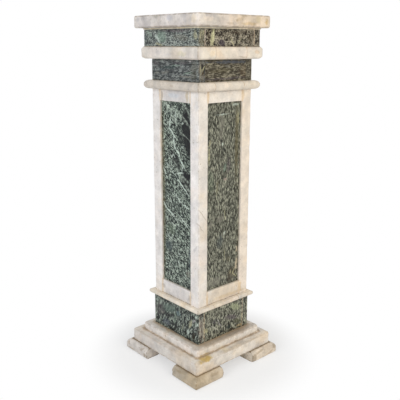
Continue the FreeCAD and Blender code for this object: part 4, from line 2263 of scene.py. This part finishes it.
@dataclass
class Stand:
    """The whole pedestal stand."""

    mason: Mason
    palette: Palette

    def build(self) -> None:
        """Build every sub-assembly from the top down."""
        self.top()
        self.rings()
        self.shaft()
        self.plinth()
        self.beds()
        self.steel()

    def top(self) -> None:
        """The top slab and its bed."""
        slab = Slab(
            "top_slab",
            "white_marble",
            corner_radius=13 * MM,
            top_radius=6 * MM,
            bottom_radius=6 * MM,
            rub=0.8 * MM,
            chip=2.0 * MM,
        )
        bed = Slab(
            "top_bed",
            "white_marble",
            corner_radius=2 * MM,
            top_radius=1.2 * MM,
            bottom_radius=1.2 * MM,
            rub=0.4 * MM,
            chip=1.0 * MM,
        )
        bed_low, bed_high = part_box(bed.node)
        self.mason.lay(slab.build(self.mason), slab.node, self.palette.cap, slab.slot)
        # The bed is darkened along its top under the slab: dirt and painted shade.
        self.mason.lay(
            bed.build(self.mason),
            bed.node,
            self.palette.bed,
            bed.slot,
            grime=square_lines(-bed_low.x, bed_high.z),
            grime_reach=1.6 * MM,
        )

    def rings(self) -> None:
        """The friezes, bands and mouldings, with the filler in their joints."""
        rings = (
            Ring("upper_frieze", "green_marble"),
            Ring("band", "white_marble", nose_radius=9.5 * MM),
            Ring("lower_frieze", "green_marble"),
            Ring("torus", "white_marble", nose_radius=12.5 * MM),
            Ring("base_moulding", "white_marble", nose_radius=5.5 * MM, chip=1.6 * MM),
            Ring("base_block", "green_marble"),
        )
        for ring in rings:
            greens = self.palette.greens.get(ring.course_name, {})
            grime = self.crevices_of(ring.course_name)
            for side, piece in ring.build(self.mason).items():
                finish = greens.get(side, self.palette.bars)
                node = ring.node(side)
                self.mason.lay(piece, node, finish, ring.slot, grime, ring.grime_reach)
            dark_joints = ring.course_name == "lower_frieze"
            filler = self.palette.putty if dark_joints else self.palette.grout
            for strip in ring.joints():
                self.mason.lay(strip, None, filler, ring.slot)

    @staticmethod
    def crevices_of(course_name: str) -> list[Line]:
        """Find where the courses above and below meet a white ring.

        Args:
            course_name: the ring's course.

        Returns:
            The lines, or none for a green ring.
        """
        neighbours = {
            "band": ("upper_frieze_left", "lower_frieze_left"),
            "torus": ("lower_frieze_left", "post_front_left"),
            "base_moulding": ("post_front_left", "base_block_left"),
        }
        lines = []
        if course_name in neighbours:
            low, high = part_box(course_name + "_left")
            for name, level in zip(neighbours[course_name], (high.z, low.z)):
                lines += square_lines(-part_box(name)[0].x, level)
        return lines

    def shaft(self) -> None:
        """The posts, rails and panels."""
        shaft = PanelledShaft()
        finish, slot = self.palette.shaft, shaft.slot
        stain = shaft.joint_lines()
        grime, reach = shaft.recess_lines(), shaft.grime_reach
        for corner, piece in shaft.build_posts(self.mason).items():
            node = "post_" + corner.word
            spread = shaft.post_stain_reach
            self.mason.lay(piece, node, finish, slot, grime, reach, stain, spread)
        for level_name in shaft.levels:
            for side, piece in shaft.build_rails(self.mason, level_name).items():
                node = "%s_%s" % (level_name, side.word)
                spread = shaft.rail_stain_reach
                self.mason.lay(piece, node, finish, slot, grime, reach, stain, spread)
        for strip in shaft.joints():
            self.mason.lay(strip, None, self.palette.grout, shaft.slot)
        for side in Side:
            dress_node("panel_" + side.word, self.palette.greens["panel"][side])

    def plinth(self) -> None:
        """The steps and the feet."""
        block_low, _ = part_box("base_block_left")
        upper_low, upper_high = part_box("upper_step")
        lower_low, lower_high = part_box("lower_step")
        upper = Slab(
            "upper_step",
            "step_marble",
            corner_radius=9 * MM,
            top_radius=6 * MM,
            bottom_radius=1 * MM,
            rub=0.8 * MM,
            chip=1.8 * MM,
        )
        lower = Slab(
            "lower_step",
            "step_marble",
            corner_radius=9 * MM,
            top_radius=8 * MM,
            bottom_radius=1.5 * MM,
            rub=0.8 * MM,
            chip=2.2 * MM,
            bore_radius=24 * MM,
            bore_depth=20 * MM,
        )
        steps = self.palette.steps
        for step, grime, reach in (
            (upper, square_lines(-block_low.x, upper_high.z), 20 * MM),
            (lower, square_lines(-upper_low.x, lower_high.z), 15 * MM),
        ):
            self.mason.lay(step.build(self.mason), step.node, steps, step.slot, grime, reach)
        feet = Feet()
        # The feet are darkened along the lower step's underside: a painted shadow of the step,
        # with dirt.
        under = square_lines(-lower_low.x, lower_low.z)
        for corner, piece in feet.build(self.mason).items():
            self.mason.lay(piece, "foot_" + corner.word, self.palette.feet, feet.slot, under)

    def beds(self) -> None:
        """The mortar beds, each on the outline of the narrower course."""
        courses = (
            ("upper_step", "upper_step"),
            ("base_block_left", "base_block_left"),
            ("base_moulding_left", "base_block_left"),
            ("post_front_left", "post_front_left"),
            ("torus_left", "post_front_left"),
            ("lower_frieze_left", "lower_frieze_left"),
            ("band_left", "lower_frieze_left"),
            ("upper_frieze_left", "upper_frieze_left"),
        )
        squeezed = cloud_texture("squeezed", scale=0.02, contrast=1.6, bright=1.0)
        for above, narrower in courses:
            low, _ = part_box(above)
            edge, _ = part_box(narrower)
            bed = MortarBed("bed_under_" + above, -edge.x, low.z, squeezed)
            finish = self.palette.grout if above == "upper_step" else self.palette.mortar
            self.mason.lay(bed.build(), None, finish, "white_marble")

    def steel(self) -> None:
        """The hidden tie's finish."""
        for name in ("tie_rod", "tie_washers", "tie_nuts", "anchor_plate"):
            dress_node(name, self.palette.steel)


# ---------------------------------------------------------------- the room


@dataclass(frozen=True)
class Room:
    """The pale floor, the soft light and the camera.

    Angles in degrees. The lamps' headings are their bearings from the column, counted from the
    front towards the right, and the camera's azimuth is counted towards the left.
    """

    azimuth: float = 41.725
    pitch: float = 14.636
    roll: float = 0.11
    distance: float = 1.8334
    sideways: float = -0.004
    eye_height: float = 1.0085
    focal_pixels: float = 590.4
    picture_pixels: float = 400.0
    sensor: float = 36.0
    floor_radius: float = 12.0
    floor_sides: int = 96
    floor_tint: Colour = (0.9, 0.9, 0.9)
    fade_start: float = 0.24
    fade_end: float = 0.41
    sky: float = 0.5
    softbox_width: float = 1.8
    softbox_height: float = 2.2
    softbox_distance: float = 2.6
    softbox_level: float = 1.7
    softbox_aim: float = 0.55
    softbox_power: float = 33.0
    left_heading: float = -80.0
    right_heading: float = -3.0
    cool: Colour = (0.94, 0.99, 1.075)
    warm: Colour = (1.045, 0.98, 0.88)

    def build(self) -> None:
        """Set up the floor, the world, the lamps and the camera."""
        self.make_floor()
        self.make_world()
        self.make_lamp("left_softbox", self.left_heading, self.cool)
        self.make_lamp("right_softbox", self.right_heading, self.warm)
        self.make_camera()
        bpy.context.scene.view_settings.view_transform = "Standard"

    def make_floor(self) -> None:
        """A white floor that shows the object's shadow, with painted shade near the column: it
        glows less there, so it is darker towards the base, and fades into the white backdrop
        further out.
        """
        bpy.ops.object.select_all(action="DESELECT")
        bpy.ops.mesh.primitive_circle_add(
            vertices=self.floor_sides,
            radius=self.floor_radius,
            fill_type="NGON",
        )
        floor = bpy.context.active_object
        floor.name = "floor"
        paint = Painter.of_material("floor_paint")
        far = paint.length(paint.coordinates()).rise(self.fade_start, self.fade_end)
        glow = paint.node("ShaderNodeEmission", None, {"Color": WHITE, "Strength": 1.0})
        matt = paint.node("ShaderNodeBsdfDiffuse", None, {"Color": (*self.floor_tint, 1.0)})
        # Camera rays see only half the floor's glow inside the fade: painted shade around the
        # base.
        share = paint.backdrop_rays() * (0.5 + far * 0.5)
        mixed = paint.node("ShaderNodeMixShader", None, {0: share, 1: matt, 2: glow})
        paint.node("ShaderNodeOutputMaterial", None, {"Surface": mixed})
        floor.data.materials.append(paint.owner)

    def make_world(self) -> None:
        """A white backdrop that lights the object at a plain level."""
        world = bpy.data.worlds.new("studio")
        bpy.context.scene.world = world
        paint = Painter(world)
        ambient, backdrop = (
            paint.node("ShaderNodeBackground", None, {"Color": WHITE, "Strength": strength})
            for strength in (self.sky, 1.0)
        )
        rays = paint.backdrop_rays()
        mixed = paint.node("ShaderNodeMixShader", None, {0: rays, 1: ambient, 2: backdrop})
        paint.node("ShaderNodeOutputWorld", None, {"Surface": mixed})

    def make_lamp(self, name: str, heading: float, tint: Colour) -> None:
        """A large softbox that looks at the column.

        Args:
            name: the lamp's name.
            heading: its bearing from the column.
            tint: its colour.
        """
        data = bpy.data.lights.new(name, "AREA")
        data.shape = "RECTANGLE"
        data.size = self.softbox_width
        data.size_y = self.softbox_height
        data.energy = self.softbox_power
        data.color = tint
        lamp = bpy.data.objects.new(name, data)
        bpy.context.scene.collection.objects.link(lamp)
        turn = math.radians(heading)
        reach = self.softbox_distance
        lamp.location = (math.sin(turn) * reach, -math.cos(turn) * reach, self.softbox_level)
        aim = Vector((0.0, 0.0, self.softbox_aim)) - lamp.location
        lamp.rotation_euler = aim.to_track_quat("-Z", "Y").to_euler()

    def make_camera(self) -> None:
        """The camera at the photograph's angle."""
        data = bpy.data.cameras.new("camera")
        data.sensor_width = self.sensor
        data.sensor_fit = "HORIZONTAL"
        data.lens = self.focal_pixels / self.picture_pixels * self.sensor
        camera = bpy.data.objects.new("camera", data)
        bpy.context.scene.collection.objects.link(camera)
        heading = math.radians(self.azimuth)
        back = Vector((-math.sin(heading), -math.cos(heading), 0.0))
        right = Vector((math.cos(heading), -math.sin(heading), 0.0))
        place = back * self.distance + right * self.sideways
        camera.location = (place.x, place.y, self.eye_height)
        turn = Matrix.Rotation(-heading, 3, "Z")
        tilt = Matrix.Rotation(math.radians(90.0 - self.pitch), 3, "X")
        spin = Matrix.Rotation(math.radians(self.roll), 3, "Z")
        camera.rotation_euler = (turn @ tilt @ spin).to_euler()
        bpy.context.scene.camera = camera


def main() -> None:
    """Build the stand and the room, and report each piece."""
    logging.basicConfig(level=logging.INFO, format="%(message)s")
    mason = Mason(
        rubbed=cloud_texture("rubbed", scale=0.03, contrast=1.0, bright=1.0),
        chipped=cloud_texture("chipped", scale=0.02, contrast=5.0, bright=0.1),
    )
    Stand(mason, Palette.mix_up()).build()
    Room().build()


if __name__ == "__main__":
    main()
